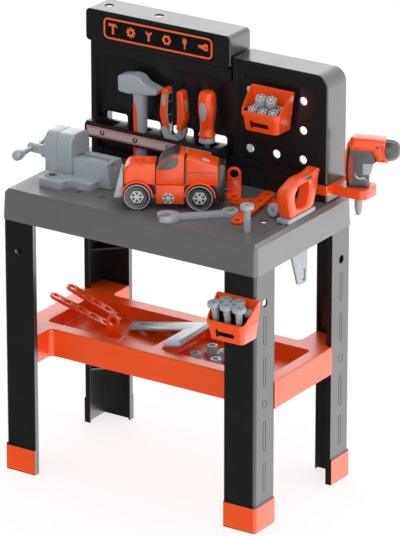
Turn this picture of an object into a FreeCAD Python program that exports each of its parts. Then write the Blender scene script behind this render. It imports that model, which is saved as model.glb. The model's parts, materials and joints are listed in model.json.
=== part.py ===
import FreeCAD, Part
import math
import os
import Sketcher

# Toy workbench: worktop on four legs, tool wall behind it, tray between the legs, and its loose toys.
# Millimetres. X runs right along the front, Y towards the back, Z up.
# The origin is on the floor, midway between the four feet.

Vector = FreeCAD.Vector
doc = FreeCAD.newDocument("ToyWorkbench")
sheet = doc.addObject("Spreadsheet::Sheet", "Sizes")
nodes = []


# ---------------------------------------------------------------- sizes

class Size:
    """A number that also knows the spreadsheet expression it comes from."""

    def __init__(self, value, text):
        self.value = value
        self.text = text

    def __add__(self, other):
        other = as_size(other)
        return Size(self.value + other.value, f"({self.text} + {other.text})")

    def __sub__(self, other):
        other = as_size(other)
        return Size(self.value - other.value, f"({self.text} - {other.text})")

    def __mul__(self, other):
        other = as_size(other)
        return Size(self.value * other.value, f"({self.text} * {other.text})")

    def __truediv__(self, other):
        other = as_size(other)
        return Size(self.value / other.value, f"({self.text} / {other.text})")

    def __radd__(self, other):
        return as_size(other) + self

    def __rsub__(self, other):
        return as_size(other) - self

    def __rmul__(self, other):
        return as_size(other) * self

    def __neg__(self):
        return as_size(0) - self


def as_size(number):
    if isinstance(number, Size):
        return number
    return Size(float(number), f"({float(number):.6f})")


class Dimensions:
    """The spreadsheet's named cells, one attribute for each alias."""

    def __init__(self):
        self.rows = 0

    def add(self, **values):
        for alias, value in values.items():
            self.rows += 1
            sheet.set(f"A{self.rows}", alias)
            sheet.set(f"B{self.rows}", str(value))
            sheet.setAlias(f"B{self.rows}", alias)
            setattr(self, alias, Size(float(value), f"Sizes.{alias}"))


d = Dimensions()


def bind(obj, prop, size):
    obj.setExpression(prop, as_size(size).text)


def place(obj, at=(0, 0, 0), axis=(0, 0, 1), angle=0, then_axis=(0, 0, 1), then_angle=0):
    """Turn an object by angle about axis, then by then_angle about then_axis, and move it to a place."""
    turn = FreeCAD.Rotation(Vector(*then_axis), then_angle) * FreeCAD.Rotation(Vector(*axis), angle)
    obj.Placement = FreeCAD.Placement(Vector(0, 0, 0), turn)
    for letter, size in zip("xyz", at):
        bind(obj, f"Placement.Base.{letter}", size)
    return obj


def node(label, obj):
    """Name a finished piece, which becomes one file."""
    obj.Label = label
    nodes.append(obj)
    return obj


# ---------------------------------------------------------------- Part primitives and booleans

def block(x, y, z):
    """A box between the (low, high) pairs x, y and z."""
    box = doc.addObject("Part::Box", "Block")
    for prop, letter, (low, high) in zip(("Length", "Width", "Height"), "xyz", (x, y, z)):
        bind(box, prop, high - as_size(low))
        bind(box, f"Placement.Base.{letter}", low)
    return box


def rod(radius, length, at, axis=(0, 0, 1)):
    """A cylinder that starts at a point and runs along axis."""
    cylinder = doc.addObject("Part::Cylinder", "Rod")
    bind(cylinder, "Radius", radius)
    bind(cylinder, "Height", length)
    turn = FreeCAD.Rotation(Vector(0, 0, 1), Vector(*axis))
    return place(cylinder, at, turn.Axis, math.degrees(turn.Angle))


def ball(radius, at):
    sphere = doc.addObject("Part::Sphere", "Ball")
    bind(sphere, "Radius", radius)
    return place(sphere, at)


def fuse(*shapes):
    result = doc.addObject("Part::MultiFuse", "Fusion")
    result.Shapes = list(shapes)
    return result


def cut(base, *tools):
    result = doc.addObject("Part::Cut", "Cut")
    result.Base = base
    result.Tool = tools[0] if len(tools) == 1 else group(*tools)
    return result


def group(*shapes):
    result = doc.addObject("Part::Compound", "Group")
    result.Links = list(shapes)
    return result


def mirror(source, normal):
    result = doc.addObject("Part::Mirroring", "Mirror")
    result.Source = source
    result.Normal = Vector(*normal)
    return result


# ---------------------------------------------------------------- PartDesign bodies

def new_body(name):
    return doc.addObject("PartDesign::Body", name)


def polygon(points, radius=0):
    """A closed outline. A point is (x, y) or (x, y, corner radius)."""
    return ("polygon", [tuple(point) + (radius,) * (3 - len(point)) for point in points])


def rectangle(x, y, radius=0):
    """A rectangle between the (low, high) pairs x and y."""
    return polygon([(x[0], y[0]), (x[1], y[0]), (x[1], y[1]), (x[0], y[1])], radius)


def circle(x, y, radius):
    return ("circle", (x, y, radius))


def stadium(start, end, radius):
    """A slot outline round two centres that share an x or a y."""
    return ("stadium", (start, end, radius))


def fix_point(drawing, geometry, end, point):
    """Bind a sketch point's two coordinates to their sizes."""
    for kind, size in zip(("DistanceX", "DistanceY"), point):
        size = as_size(size)
        index = drawing.addConstraint(Sketcher.Constraint(kind, geometry, end, size.value))
        drawing.setExpression(f"Constraints[{index}]", size.text)


def fix_radius(drawing, geometry, size):
    size = as_size(size)
    index = drawing.addConstraint(Sketcher.Constraint("Radius", geometry, size.value))
    drawing.setExpression(f"Constraints[{index}]", size.text)


def plain(point):
    return Vector(as_size(point[0]).value, as_size(point[1]).value, 0)


def corner_points(before, corner, after):
    """The two ends of a rounded corner's arc, as sizes, and the arc's centre, as a vector."""
    here = plain(corner)
    to_before = (plain(before) - here).normalize()
    to_after = (plain(after) - here).normalize()
    half_angle = to_before.getAngle(to_after) / 2
    reach = corner[2] * (1 / math.tan(half_angle))
    ends = []
    for way in (to_before, to_after):
        ends.append((corner[0] + reach * way.x, corner[1] + reach * way.y))
    middle = (to_before + to_after).normalize()
    centre = here + middle * (as_size(corner[2]).value / math.sin(half_angle))
    return ends[0], ends[1], centre


def draw_polygon(drawing, corners):
    count = len(corners)
    rounded = []
    for index, corner in enumerate(corners):
        if as_size(corner[2]).value > 0:
            rounded.append(corner_points(corners[index - 1], corner, corners[(index + 1) % count]))
        else:
            rounded.append((corner[:2], corner[:2], None))
    lines = []
    for index in range(count):
        start = rounded[index][1]
        end = rounded[(index + 1) % count][0]
        line = drawing.addGeometry(Part.LineSegment(plain(start), plain(end)), False)
        fix_point(drawing, line, 1, start)
        fix_point(drawing, line, 2, end)
        lines.append(line)
    for index, (first, last, centre) in enumerate(rounded):
        if centre is None:
            continue
        ring = Part.Circle(centre, Vector(0, 0, 1), as_size(corners[index][2]).value)
        low = math.atan2(plain(first).y - centre.y, plain(first).x - centre.x)
        high = math.atan2(plain(last).y - centre.y, plain(last).x - centre.x)
        ends = (1, 2)
        if (high - low) % (2 * math.pi) > math.pi:
            low, high = high, low
            ends = (2, 1)
        arc = drawing.addGeometry(Part.ArcOfCircle(ring, low, high), False)
        drawing.addConstraint(Sketcher.Constraint("Coincident", arc, ends[0], lines[index - 1], 2))
        drawing.addConstraint(Sketcher.Constraint("Coincident", arc, ends[1], lines[index], 1))
        fix_radius(drawing, arc, corners[index][2])


def draw_circle(drawing, x, y, radius):
    ring = Part.Circle(plain((x, y)), Vector(0, 0, 1), as_size(radius).value)
    index = drawing.addGeometry(ring, False)
    fix_point(drawing, index, 3, (x, y))
    fix_radius(drawing, index, radius)


def draw_stadium(drawing, start, end, radius):
    along = (plain(end) - plain(start)).normalize()
    side = Vector(-along.y, along.x, 0)
    lines = []
    for sign, first, last in ((-1, start, end), (1, end, start)):
        ends = [(c[0] + radius * (sign * side.x), c[1] + radius * (sign * side.y)) for c in (first, last)]
        line = drawing.addGeometry(Part.LineSegment(plain(ends[0]), plain(ends[1])), False)
        fix_point(drawing, line, 1, ends[0])
        fix_point(drawing, line, 2, ends[1])
        lines.append(line)
    heading = math.atan2(along.y, along.x)
    for centre, first, last, turn in ((end, lines[0], lines[1], 0), (start, lines[1], lines[0], math.pi)):
        ring = Part.Circle(plain(centre), Vector(0, 0, 1), as_size(radius).value)
        low = heading + turn - math.pi / 2
        arc = drawing.addGeometry(Part.ArcOfCircle(ring, low, low + math.pi), False)
        drawing.addConstraint(Sketcher.Constraint("Coincident", arc, 1, first, 2))
        drawing.addConstraint(Sketcher.Constraint("Coincident", arc, 2, last, 1))
        kind, size = ("DistanceX", centre[0]) if abs(along.x) > abs(along.y) else ("DistanceY", centre[1])
        size = as_size(size)
        index = drawing.addConstraint(Sketcher.Constraint(kind, arc, 3, size.value))
        drawing.setExpression(f"Constraints[{index}]", size.text)


DRAW = {"polygon": draw_polygon, "circle": draw_circle, "stadium": draw_stadium}


def sketch(body, plane, at, loops):
    """A sketch on one of the body's own planes (XY, XZ or YZ), moved to at on the third axis."""
    drawing = body.newObject("Sketcher::SketchObject", "Outline")
    base = [item for item in body.Origin.OriginFeatures if item.Role == f"{plane}_Plane"][0]
    drawing.AttachmentSupport = [(base, "")]
    drawing.MapMode = "FlatFace"
    along_normal = -as_size(at) if plane == "XZ" else as_size(at)
    bind(drawing, "AttachmentOffset.Base.z", along_normal)
    for kind, values in loops:
        if kind == "polygon":
            DRAW[kind](drawing, values)
        else:
            DRAW[kind](drawing, *values)
    return drawing


def pad(body, plane, loops, low, high, taper=0):
    """Add the outline's material from low to high along the plane's axis."""
    feature = body.newObject("PartDesign::Pad", "Pad")
    feature.Profile = sketch(body, plane, low, loops)
    feature.Reversed = plane == "XZ"
    bind(feature, "Length", high - as_size(low))
    if taper:
        bind(feature, "TaperAngle", taper)
    return feature


def pocket(body, plane, loops, low, high, taper=0):
    """Take the outline's material away from low to high along the plane's axis."""
    feature = body.newObject("PartDesign::Pocket", "Pocket")
    feature.Profile = sketch(body, plane, low, loops)
    feature.Reversed = plane != "XZ"
    bind(feature, "Length", high - as_size(low))
    if taper:
        bind(feature, "TaperAngle", taper)
    return feature


def turned(name, profile):
    """A body turned about Z from a profile of (radius, height) points."""
    body = new_body(name)
    feature = body.newObject("PartDesign::Revolution", "Revolution")
    drawing = sketch(body, "XZ", 0, [profile])
    feature.Profile = drawing
    feature.ReferenceAxis = (drawing, ["V_Axis"])
    feature.Angle = 360
    return body


def edge_names(body, choose):
    """The names of the body's edges that choose accepts, given their middle point and direction."""
    doc.recompute()
    names = []
    for index, edge in enumerate(body.Tip.Shape.Edges, 1):
        start = edge.valueAt(edge.FirstParameter)
        end = edge.valueAt(edge.LastParameter)
        middle = edge.valueAt((edge.FirstParameter + edge.LastParameter) / 2)
        direction = end - start
        if direction.Length > 1e-6:
            direction.normalize()
        if choose(middle, direction):
            names.append(f"Edge{index}")
    return names


def round_edges(body, radius, choose):
    names = edge_names(body, choose)
    base = body.Tip
    feature = body.newObject("PartDesign::Fillet", "Fillet")
    feature.Base = (base, names)
    bind(feature, "Radius", radius)
    return feature


def bevel_edges(body, size, choose):
    names = edge_names(body, choose)
    base = body.Tip
    feature = body.newObject("PartDesign::Chamfer", "Chamfer")
    feature.Base = (base, names)
    bind(feature, "Size", size)
    return feature


def near(value, size, slack=0.2):
    return abs(value - as_size(size).value) < slack


# ---------------------------------------------------------------- worktop

d.add(
    top_length=487.4, top_depth=289, top_height=490, apron_height=51, apron_draft=3,
    top_wall=3, top_slab=4, top_bevel=6, top_corner=9, peg_hole_radius=7,
    rib_thickness=2, rib_depth=20, rib_pitch=96,
    saw_slot_x=223, saw_slot_half_width=3, saw_slot_front=-42, saw_slot_back=50,
    vise_hole_x=-133, spare_hole_x=-86, front_hole_y=-86.5,
    bolt_hole_x=193, bolt_hole_y=-91.5, side_hole_x=191, side_hole_y=-39,
)


def worktop():
    body = new_body("Worktop")
    half_x = d.top_length / 2
    half_y = d.top_depth / 2
    low = d.top_height - d.apron_height
    outline = rectangle((-half_x, half_x), (-half_y, half_y), d.top_corner)
    pad(body, "XY", [outline], low, d.top_height, -d.apron_draft)
    bevel_edges(body, d.top_bevel, lambda p, way: near(p.z, d.top_height))
    inner_x = half_x - d.top_wall
    inner_y = half_y - d.top_wall
    inside = rectangle((-inner_x, inner_x), (-inner_y, inner_y), d.top_corner - d.top_wall)
    ceiling = d.top_height - d.top_slab
    pocket(body, "XY", [inside], low, ceiling, -d.apron_draft)
    ribs_along_y = []
    for step in (-1.5, -0.5, 0.5, 1.5):
        x = d.rib_pitch * step
        ribs_along_y.append(rectangle((x, x + d.rib_thickness), (-inner_y + 6, inner_y - 6)))
    pad(body, "XY", ribs_along_y, ceiling - d.rib_depth, ceiling)
    ribs_along_x = []
    for step in (-0.6, 0.6):
        y = d.rib_pitch * step
        ribs_along_x.append(rectangle((-inner_x + 32, inner_x - 32), (y, y + d.rib_thickness)))
    pad(body, "XY", ribs_along_x, ceiling - d.rib_depth, ceiling)
    holes = [
        circle(d.vise_hole_x, d.front_hole_y, d.peg_hole_radius),
        circle(d.spare_hole_x, d.front_hole_y, d.peg_hole_radius),
        circle(d.bolt_hole_x, d.bolt_hole_y, d.peg_hole_radius),
        circle(d.side_hole_x, d.side_hole_y, d.peg_hole_radius),
        rectangle(
            (d.saw_slot_x - d.saw_slot_half_width, d.saw_slot_x + d.saw_slot_half_width),
            (d.saw_slot_front, d.saw_slot_back),
        ),
    ]
    for x in wall_screw_places():
        holes.append(circle(x, d.wall_screw_y, d.screw_radius + 0.1))
    pocket(body, "XY", holes, ceiling - 1, d.top_height + 1)
    return node("worktop", body)


# ---------------------------------------------------------------- legs and feet

d.add(
    leg_width=58, leg_depth=56, leg_wall=3, leg_lip=9, leg_corner=6, leg_inset=2,
    foot_height=46, foot_flare=2, plug_height=28, plug_inset=3.6,
    leg_hole_height=387, leg_ring_height=215, slot_half_width=4, groove_width=1.2, groove_depth=0.6,
    sticker_height=43, sticker_thickness=0.5, sticker_gap=1.5,
)
LEG_SLOTS = ((315, 365), (245, 295), (133, 186), (63, 115))
LEG_WEBS = (90, 160, 305, 375)


def leg_section(left, front, wall, lip, corner):
    """The L-shaped section of the front left leg, open towards the middle of the bench."""
    right = left + d.leg_width
    back = front + d.leg_depth
    return polygon([
        (left, front, corner),
        (right, front),
        (right, front + lip),
        (right - wall, front + lip),
        (right - wall, front + wall),
        (left + wall, front + wall),
        (left + wall, back - wall),
        (left + lip, back - wall),
        (left + lip, back),
        (left, back),
    ])


def leg_marks(centre):
    """The engraved slots and ring that run up the middle of a leg's outer face."""
    marks = []
    outer = d.slot_half_width
    inner = d.slot_half_width - d.groove_width
    for low, high in LEG_SLOTS:
        for radius in (outer, inner):
            marks.append(stadium((centre, as_size(low) + outer), (centre, as_size(high) - outer), radius))
    marks.append(circle(centre, d.leg_ring_height, d.peg_hole_radius))
    marks.append(circle(centre, d.leg_ring_height, d.peg_hole_radius - d.groove_width))
    return marks


def front_left_leg():
    body = new_body("Leg")
    left = -d.top_length / 2 + d.leg_inset
    front = -d.top_depth / 2 + d.leg_inset
    top = d.top_height - d.apron_height
    pad(body, "XY", [leg_section(left, front, d.leg_wall, d.leg_lip, d.leg_corner)], 0, top)
    flare = d.foot_flare
    right = left + d.leg_width
    back = front + d.leg_depth
    wall = d.leg_wall
    foot = polygon([
        (left - flare, front - flare, d.leg_corner),
        (right, front - flare),
        (right, front + wall),
        (left + wall, front + wall),
        (left + wall, back),
        (left - flare, back),
    ])
    pad(body, "XY", [foot], 0, d.foot_height)
    bevel_edges(body, flare - 0.2, lambda p, way: near(p.z, d.foot_height) and (
        p.x < left.value - 0.1 or p.y < front.value - 0.1))
    inset = d.plug_inset
    plug = polygon([
        (left + inset, front + inset, d.leg_corner),
        (right - inset, front + inset),
        (right - inset, front + inset + wall),
        (left + inset + wall, front + inset + wall),
        (left + inset + wall, back - inset),
        (left + inset, back - inset),
    ])
    pad(body, "XY", [plug], top - 4, top + d.plug_height)
    ledge = polygon([
        (left + wall, front + wall),
        (right - inset, front + wall),
        (right - inset, front + inset + wall),
        (left + inset + wall, front + inset + wall),
        (left + inset + wall, back - inset),
        (left + wall, back - inset),
    ])
    pad(body, "XY", [ledge], top - 4, top)
    for height in LEG_WEBS:
        web = polygon([(left + wall, front + wall), (right - 14, front + wall), (left + wall, back - 14)])
        pad(body, "XY", [web], height, height + wall)
    middle_x = left + d.leg_width / 2
    middle_y = front + d.leg_depth / 2
    pocket(body, "XZ", leg_marks(middle_x), front - 1, front + d.groove_depth)
    pocket(body, "YZ", leg_marks(middle_y), left - 1, left + d.groove_depth)
    front_hole = circle(middle_x, d.leg_hole_height, d.peg_hole_radius)
    side_hole = circle(middle_y, d.leg_hole_height, d.peg_hole_radius)
    pocket(body, "XZ", [front_hole], front - 1, front + wall + 1)
    pocket(body, "YZ", [side_hole], left - 1, left + wall + 1)
    return body


def front_left_sticker():
    """The coloured sheet wrapped round the outside of the front left foot."""
    body = new_body("Sticker")
    left = -d.top_length / 2
    front = -d.top_depth / 2
    right = left + d.foot_flare + d.leg_width
    back = front + d.foot_flare + d.leg_depth
    thick = d.sticker_thickness
    sheet_outline = polygon([
        (left - thick, front - thick, d.leg_corner + thick),
        (right, front - thick),
        (right, front),
        (left, front, d.leg_corner),
        (left, back),
        (left - thick, back),
    ])
    pad(body, "XY", [sheet_outline], d.sticker_gap, d.sticker_height)
    return body


def four_corners(front_left):
    """A front left piece and its mirror images at the other three corners."""
    front_right = mirror(front_left, (1, 0, 0))
    rear_left = mirror(front_left, (0, 1, 0))
    rear_right = mirror(front_right, (0, 1, 0))
    return front_left, front_right, rear_left, rear_right


def legs():
    names = ("leg_front_left", "leg_front_right", "leg_rear_left", "leg_rear_right")
    for name, leg in zip(names, four_corners(front_left_leg())):
        node(name, leg)
    node("foot_stickers", group(*four_corners(front_left_sticker())))


# ---------------------------------------------------------------- lower shelf

d.add(
    shelf_half_length=243, shelf_top=244, shelf_bottom=197, shelf_wall=3,
    shelf_front=-96, shelf_back=84, shelf_arm_inner=183.4, shelf_arm_reach=133,
    recess_floor=222, recess_front=-73, recess_back=57,
    left_recess_start=-208, left_recess_end=0, right_recess_start=14, right_recess_end=222,
    recess_corner=10, recess_draft=8, shelf_rounding=2,
)


def shelf_corner(sign_x, sign_y, wall_y):
    """One corner of the tray's outline, from its side to its front or back, round a leg's inside."""
    gap = 0.3
    inner_end = d.top_depth / 2 - d.leg_inset - d.leg_depth
    lip_x = d.top_length / 2 - d.leg_inset - d.leg_lip - gap
    wall_x = d.top_length / 2 - d.leg_inset - d.leg_wall - gap
    return [
        (d.shelf_half_length * sign_x, (inner_end - gap) * sign_y),
        (lip_x * sign_x, (inner_end - gap) * sign_y),
        (lip_x * sign_x, (inner_end + d.leg_wall + gap) * sign_y),
        (wall_x * sign_x, (inner_end + d.leg_wall + gap) * sign_y),
        (wall_x * sign_x, d.shelf_arm_reach * sign_y),
        (d.shelf_arm_inner * sign_x, d.shelf_arm_reach * sign_y),
        (d.shelf_arm_inner * sign_x, wall_y, 10),
    ]


def lower_shelf():
    body = new_body("Shelf")
    outline = shelf_corner(-1, -1, d.shelf_front)
    outline += reversed(shelf_corner(1, -1, d.shelf_front))
    outline += shelf_corner(1, 1, d.shelf_back)
    outline += reversed(shelf_corner(-1, 1, d.shelf_back))
    pad(body, "XY", [polygon(outline)], d.shelf_bottom, d.shelf_top)
    round_edges(body, d.shelf_rounding, lambda p, way: near(p.z, d.shelf_top) and abs(p.y) < 100 and (
        near(p.y, d.shelf_front) or near(p.y, d.shelf_back) or near(abs(p.x), d.shelf_half_length)))
    wall = d.shelf_wall
    recesses = ((d.left_recess_start, d.left_recess_end), (d.right_recess_start, d.right_recess_end))
    for start, end in recesses:
        opening = rectangle((start, end), (d.recess_front, d.recess_back), d.recess_corner)
        deep = body.newObject("PartDesign::Pocket", "Recess")
        deep.Profile = sketch(body, "XY", d.shelf_top, [opening])
        bind(deep, "Length", d.shelf_top - d.recess_floor)
        bind(deep, "TaperAngle", -d.recess_draft)
    doc.recompute()
    round_edges(body, 3, lambda p, way: near(p.z, d.recess_floor))
    floors = []
    for start, end in recesses:
        floors.append(rectangle((start, end), (d.recess_front, d.recess_back), 8))
    pocket(body, "XY", floors, d.shelf_bottom, d.recess_floor - wall)
    outer = rectangle(
        (-d.shelf_half_length + wall + 12, d.shelf_half_length - wall - 12),
        (d.shelf_front + wall, d.shelf_back - wall),
        8,
    )
    around = [outer]
    for start, end in recesses:
        across = (d.recess_front - wall, d.recess_back + wall)
        around.append(rectangle((start - wall, end + wall), across, 11))
    pocket(body, "XY", around, d.shelf_bottom, d.shelf_top - wall)
    return node("lower_shelf", body)


# ---------------------------------------------------------------- tool wall

d.add(
    wall_back=139, wall_shell=3,
    left_start=-222, left_end=50, left_front=82.5, left_top=682.2, left_border=10,
    field_top=664, field_bottom=500, field_depth=10,
    right_start=54, right_end=232, right_front=83, right_top=703, right_corner=22,
    step_depth=3, inner_left=65, inner_right=214, inner_bottom=535, inner_top=680, inner_depth=9,
    peg_grid_x=81.5, peg_grid_z=552, peg_pitch_x=50, peg_pitch_z=49.5,
    header_start=-231, header_end=50, header_front=80.5, header_bottom=682.5, header_top=737.5,
    header_corner=8, header_hole_a=-205, header_hole_b=-107, header_hole_y=111, header_hole_radius=8,
    sign_start=-196, sign_end=18, sign_low=691, sign_high=730, sign_thickness=0.8, sign_corner=5,
    wall_screw_y=111, screw_radius=2, screw_head_radius=4, screw_head_height=3,
    rack_start=-212, rack_end=46, rack_front=48, rack_back=82.2, rack_bottom=528, rack_top=555,
    rack_slope=5, slot_half_length=18, rack_slot_front=52.5, rack_slot_back=76.5,
    first_slot=-177, slot_pitch=64.5,
    strip_start=-208, strip_end=35, strip_low=533, strip_high=549, strip_thickness=0.6,
    window_low=547, window_high=563, window_half_width=20,
)


def wall_screw_places():
    """X of the four screws that hold the tool wall to the worktop from below."""
    return (d.left_start + 30, d.left_end - 30, d.right_start + 30, d.right_end - 30)


def slot_places():
    return [d.first_slot + d.slot_pitch * step for step in range(4)]


def screw_holes(body, first, last, base):
    places = wall_screw_places()[first:last]
    holes = [circle(x, d.wall_screw_y, d.screw_radius + 0.1) for x in places]
    pocket(body, "XY", holes, base - 1, base + d.wall_shell + 1)


def left_back_panel():
    body = new_body("LeftPanel")
    base = d.top_height
    outline = rectangle((d.left_start, d.left_end), (base, d.left_top))
    pad(body, "XZ", [outline], d.left_front, d.wall_back)
    field = rectangle((d.left_start + d.left_border, d.left_end), (d.field_bottom, d.field_top), 3)
    field_front = d.left_front + d.field_depth
    pocket(body, "XZ", [field], d.left_front - 1, field_front)
    shell = d.wall_shell
    hollow = rectangle((d.left_start + shell, d.left_end - shell), (base + shell, d.left_top - shell), 3)
    pocket(body, "XZ", [hollow], field_front + shell, d.wall_back + 1)
    windows = []
    for x in slot_places():
        side = d.window_half_width
        windows.append(rectangle((x - side, x + side), (d.window_low, d.window_high), 5))
    pocket(body, "XZ", windows, field_front - 1, field_front + shell + 1)
    screw_holes(body, 0, 2, base)
    return node("left_back_panel", body)


def peg_hole_places():
    places = []
    for row in range(3):
        for column in range(3):
            places.append((d.peg_grid_x + d.peg_pitch_x * column, d.peg_grid_z + d.peg_pitch_z * row))
    return places


def right_peg_panel():
    body = new_body("RightPanel")
    base = d.top_height
    outline = polygon([
        (d.right_start, base),
        (d.right_end, base),
        (d.right_end, d.right_top, d.right_corner),
        (d.right_start, d.right_top),
    ])
    pad(body, "XZ", [outline], d.right_front, d.wall_back)
    round_edges(body, 3, lambda p, way: near(p.y, d.right_front) and p.z > base.value + 1
                and p.x > d.right_start.value + 1)
    border = 7
    step = polygon([
        (d.right_start + 4, d.inner_bottom - 12),
        (d.right_end - border, d.inner_bottom - 12),
        (d.right_end - border, d.right_top - border, d.right_corner - border),
        (d.right_start + 4, d.right_top - border),
    ])
    pocket(body, "XZ", [step], d.right_front - 1, d.right_front + d.step_depth)
    inner = polygon([
        (d.inner_left, d.inner_bottom, 5),
        (d.inner_right, d.inner_bottom, 5),
        (d.inner_right, d.inner_top, 14),
        (d.inner_left, d.inner_top, 5),
    ])
    inner_front = d.right_front + d.inner_depth
    pocket(body, "XZ", [inner], d.right_front - 1, inner_front)
    shell = d.wall_shell
    hollow = polygon([
        (d.right_start + shell, base + shell),
        (d.right_end - shell, base + shell),
        (d.right_end - shell, d.right_top - shell, d.right_corner - shell),
        (d.right_start + shell, d.right_top - shell),
    ])
    pocket(body, "XZ", [hollow], inner_front + shell, d.wall_back + 1)
    holes = [circle(x, z, d.peg_hole_radius) for x, z in peg_hole_places()]
    pocket(body, "XZ", holes, inner_front - 1, inner_front + shell + 1)
    screw_holes(body, 2, 4, base)
    return node("right_peg_panel", body)


def header_box():
    body = new_body("Header")
    outline = rectangle((d.header_start, d.header_end), (d.header_bottom, d.header_top), d.header_corner)
    pad(body, "XZ", [outline], d.header_front, d.wall_back)
    round_edges(body, 2.5, lambda p, way: near(p.y, d.header_front))
    shell = d.wall_shell
    hollow = rectangle(
        (d.header_start + shell, d.header_end - shell),
        (d.header_bottom + shell, d.header_top - shell),
        d.header_corner - shell,
    )
    pocket(body, "XZ", [hollow], d.header_front + shell, d.wall_back + 1)
    holes = [circle(x, d.header_hole_y, d.header_hole_radius) for x in (d.header_hole_a, d.header_hole_b)]
    pocket(body, "XY", holes, d.header_top - shell - 1, d.header_top + 1)
    return node("header_box", body)


def header_sign():
    body = new_body("Sign")
    outline = rectangle((d.sign_start, d.sign_end), (d.sign_low, d.sign_high), d.sign_corner)
    pad(body, "XZ", [outline], d.header_front - d.sign_thickness, d.header_front)
    return node("header_sign", body)


def tool_rack():
    body = new_body("Rack")
    side = polygon([
        (d.rack_front, d.rack_bottom, 2),
        (d.rack_back, d.rack_bottom),
        (d.rack_back, d.rack_top),
        (d.rack_front + 6, d.rack_top),
        (d.rack_front, d.rack_top - d.rack_slope, 2),
    ])
    pad(body, "YZ", [side], d.rack_start, d.rack_end)
    shell = d.wall_shell
    slots = []
    sleeves = []
    for x in slot_places():
        wide = d.slot_half_length
        slots.append(rectangle((x - wide, x + wide), (d.rack_slot_front, d.rack_slot_back), 4))
        sleeves.append(rectangle(
            (x - wide - 2, x + wide + 2), (d.rack_slot_front - 2, d.rack_slot_back + 2), 5))
    inside = rectangle((d.rack_start + shell, d.rack_end - shell), (d.rack_front + shell, d.rack_back - 1))
    pocket(body, "XY", [inside] + sleeves, d.rack_bottom - 1, d.rack_top - d.rack_slope - shell)
    pocket(body, "XY", slots, d.rack_bottom - 2, d.rack_top + 1)
    return node("tool_rack", body)


def rack_label_strip():
    body = new_body("Strip")
    outline = rectangle((d.strip_start, d.strip_end), (d.strip_low, d.strip_high), 2)
    pad(body, "XZ", [outline], d.rack_front - d.strip_thickness, d.rack_front)
    return node("rack_label_strip", body)


def wall_screws():
    """The screws that hold the wall down, from under the worktop's slab."""
    screws = []
    ceiling = d.top_height - d.top_slab
    for x in wall_screw_places():
        foot = (x, d.wall_screw_y, ceiling - d.screw_head_height)
        head = rod(d.screw_head_radius, d.screw_head_height, foot)
        shank = rod(d.screw_radius, 18, (x, d.wall_screw_y, ceiling - 1))
        screws.append(fuse(head, shank))
    return screws


# ---------------------------------------------------------------- drill and its holder

d.add(
    band_start=188, band_low=504, band_high=520, band_thickness=3,
    holder_neck=248, holder_end=296, holder_front=92, holder_back=140,
    holder_corner=13,
    drill_x=272, drill_y=116, drill_turn=27, drill_seat=507,
    grip_half_length=16, grip_half_width=11, grip_top=562,
    bit_hole_radius=5.05, bit_neck_radius=5, bit_radius=6.8, bit_low=470,
)


def drill_holder():
    body = new_body("Holder")
    front = d.right_front
    thick = d.band_thickness
    strap = polygon([
        (d.band_start, front - thick, 1),
        (d.right_end + thick, front - thick, 4),
        (d.right_end + thick, d.holder_front + 2),
        (d.holder_neck, d.holder_front, 3),
        (d.holder_end, d.holder_front, d.holder_corner),
        (d.holder_end, d.holder_back, d.holder_corner),
        (d.holder_neck, d.holder_back, 3),
        (d.right_end + thick, d.holder_back - 2),
        (d.right_end + 0.1, d.holder_back - 2),
        (d.right_end + 0.1, front - 0.1, 2),
        (d.band_start, front - 0.1),
    ])
    pad(body, "XY", [strap], d.band_low, d.band_high)
    round_edges(body, 1.5, lambda p, way: near(p.z, d.band_high) and p.x > d.right_end.value + 4)
    return body


def drill_local(obj):
    """Move a piece drawn round the drill's grip, nose along +X, to the drill's place."""
    return place(obj, (d.drill_x, d.drill_y, 0), (0, 0, 1), d.drill_turn.value)


def grip_socket(margin, low, high):
    """A rounded block round the drill's grip."""
    body = new_body("Socket")
    outline = rectangle(
        (-d.grip_half_length - margin, d.grip_half_length + margin),
        (-d.grip_half_width - margin, d.grip_half_width + margin),
        d.grip_half_width + margin - 1,
    )
    pad(body, "XY", [outline], low, high)
    return drill_local(body)


def holder_with_socket():
    bit_hole = rod(d.bit_hole_radius, 30, (d.drill_x, d.drill_y, d.bit_low + 20))
    holder = cut(drill_holder(), grip_socket(0.6, d.drill_seat, d.band_high + 5), bit_hole)
    return node("drill_holder", holder)


def spare_bit():
    tip = turned("Bit", polygon([
        (0, d.bit_low),
        (4.2, d.bit_low),
        (d.bit_radius, d.bit_low + 12),
        (d.bit_radius, d.bit_low + 26),
        (d.bit_neck_radius, d.bit_low + 31),
        (d.bit_neck_radius, d.drill_seat - 0.4),
        (0, d.drill_seat - 0.4),
    ]))
    return node("spare_bit", place(tip, (d.drill_x, d.drill_y, 0)))


d.add(
    motor_height=581, motor_radius=19, motor_back=-20, motor_front=42, nose_end=66, nose_radius=19,
    trigger_front=23.5, trigger_low=530, trigger_high=558,
)


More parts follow.
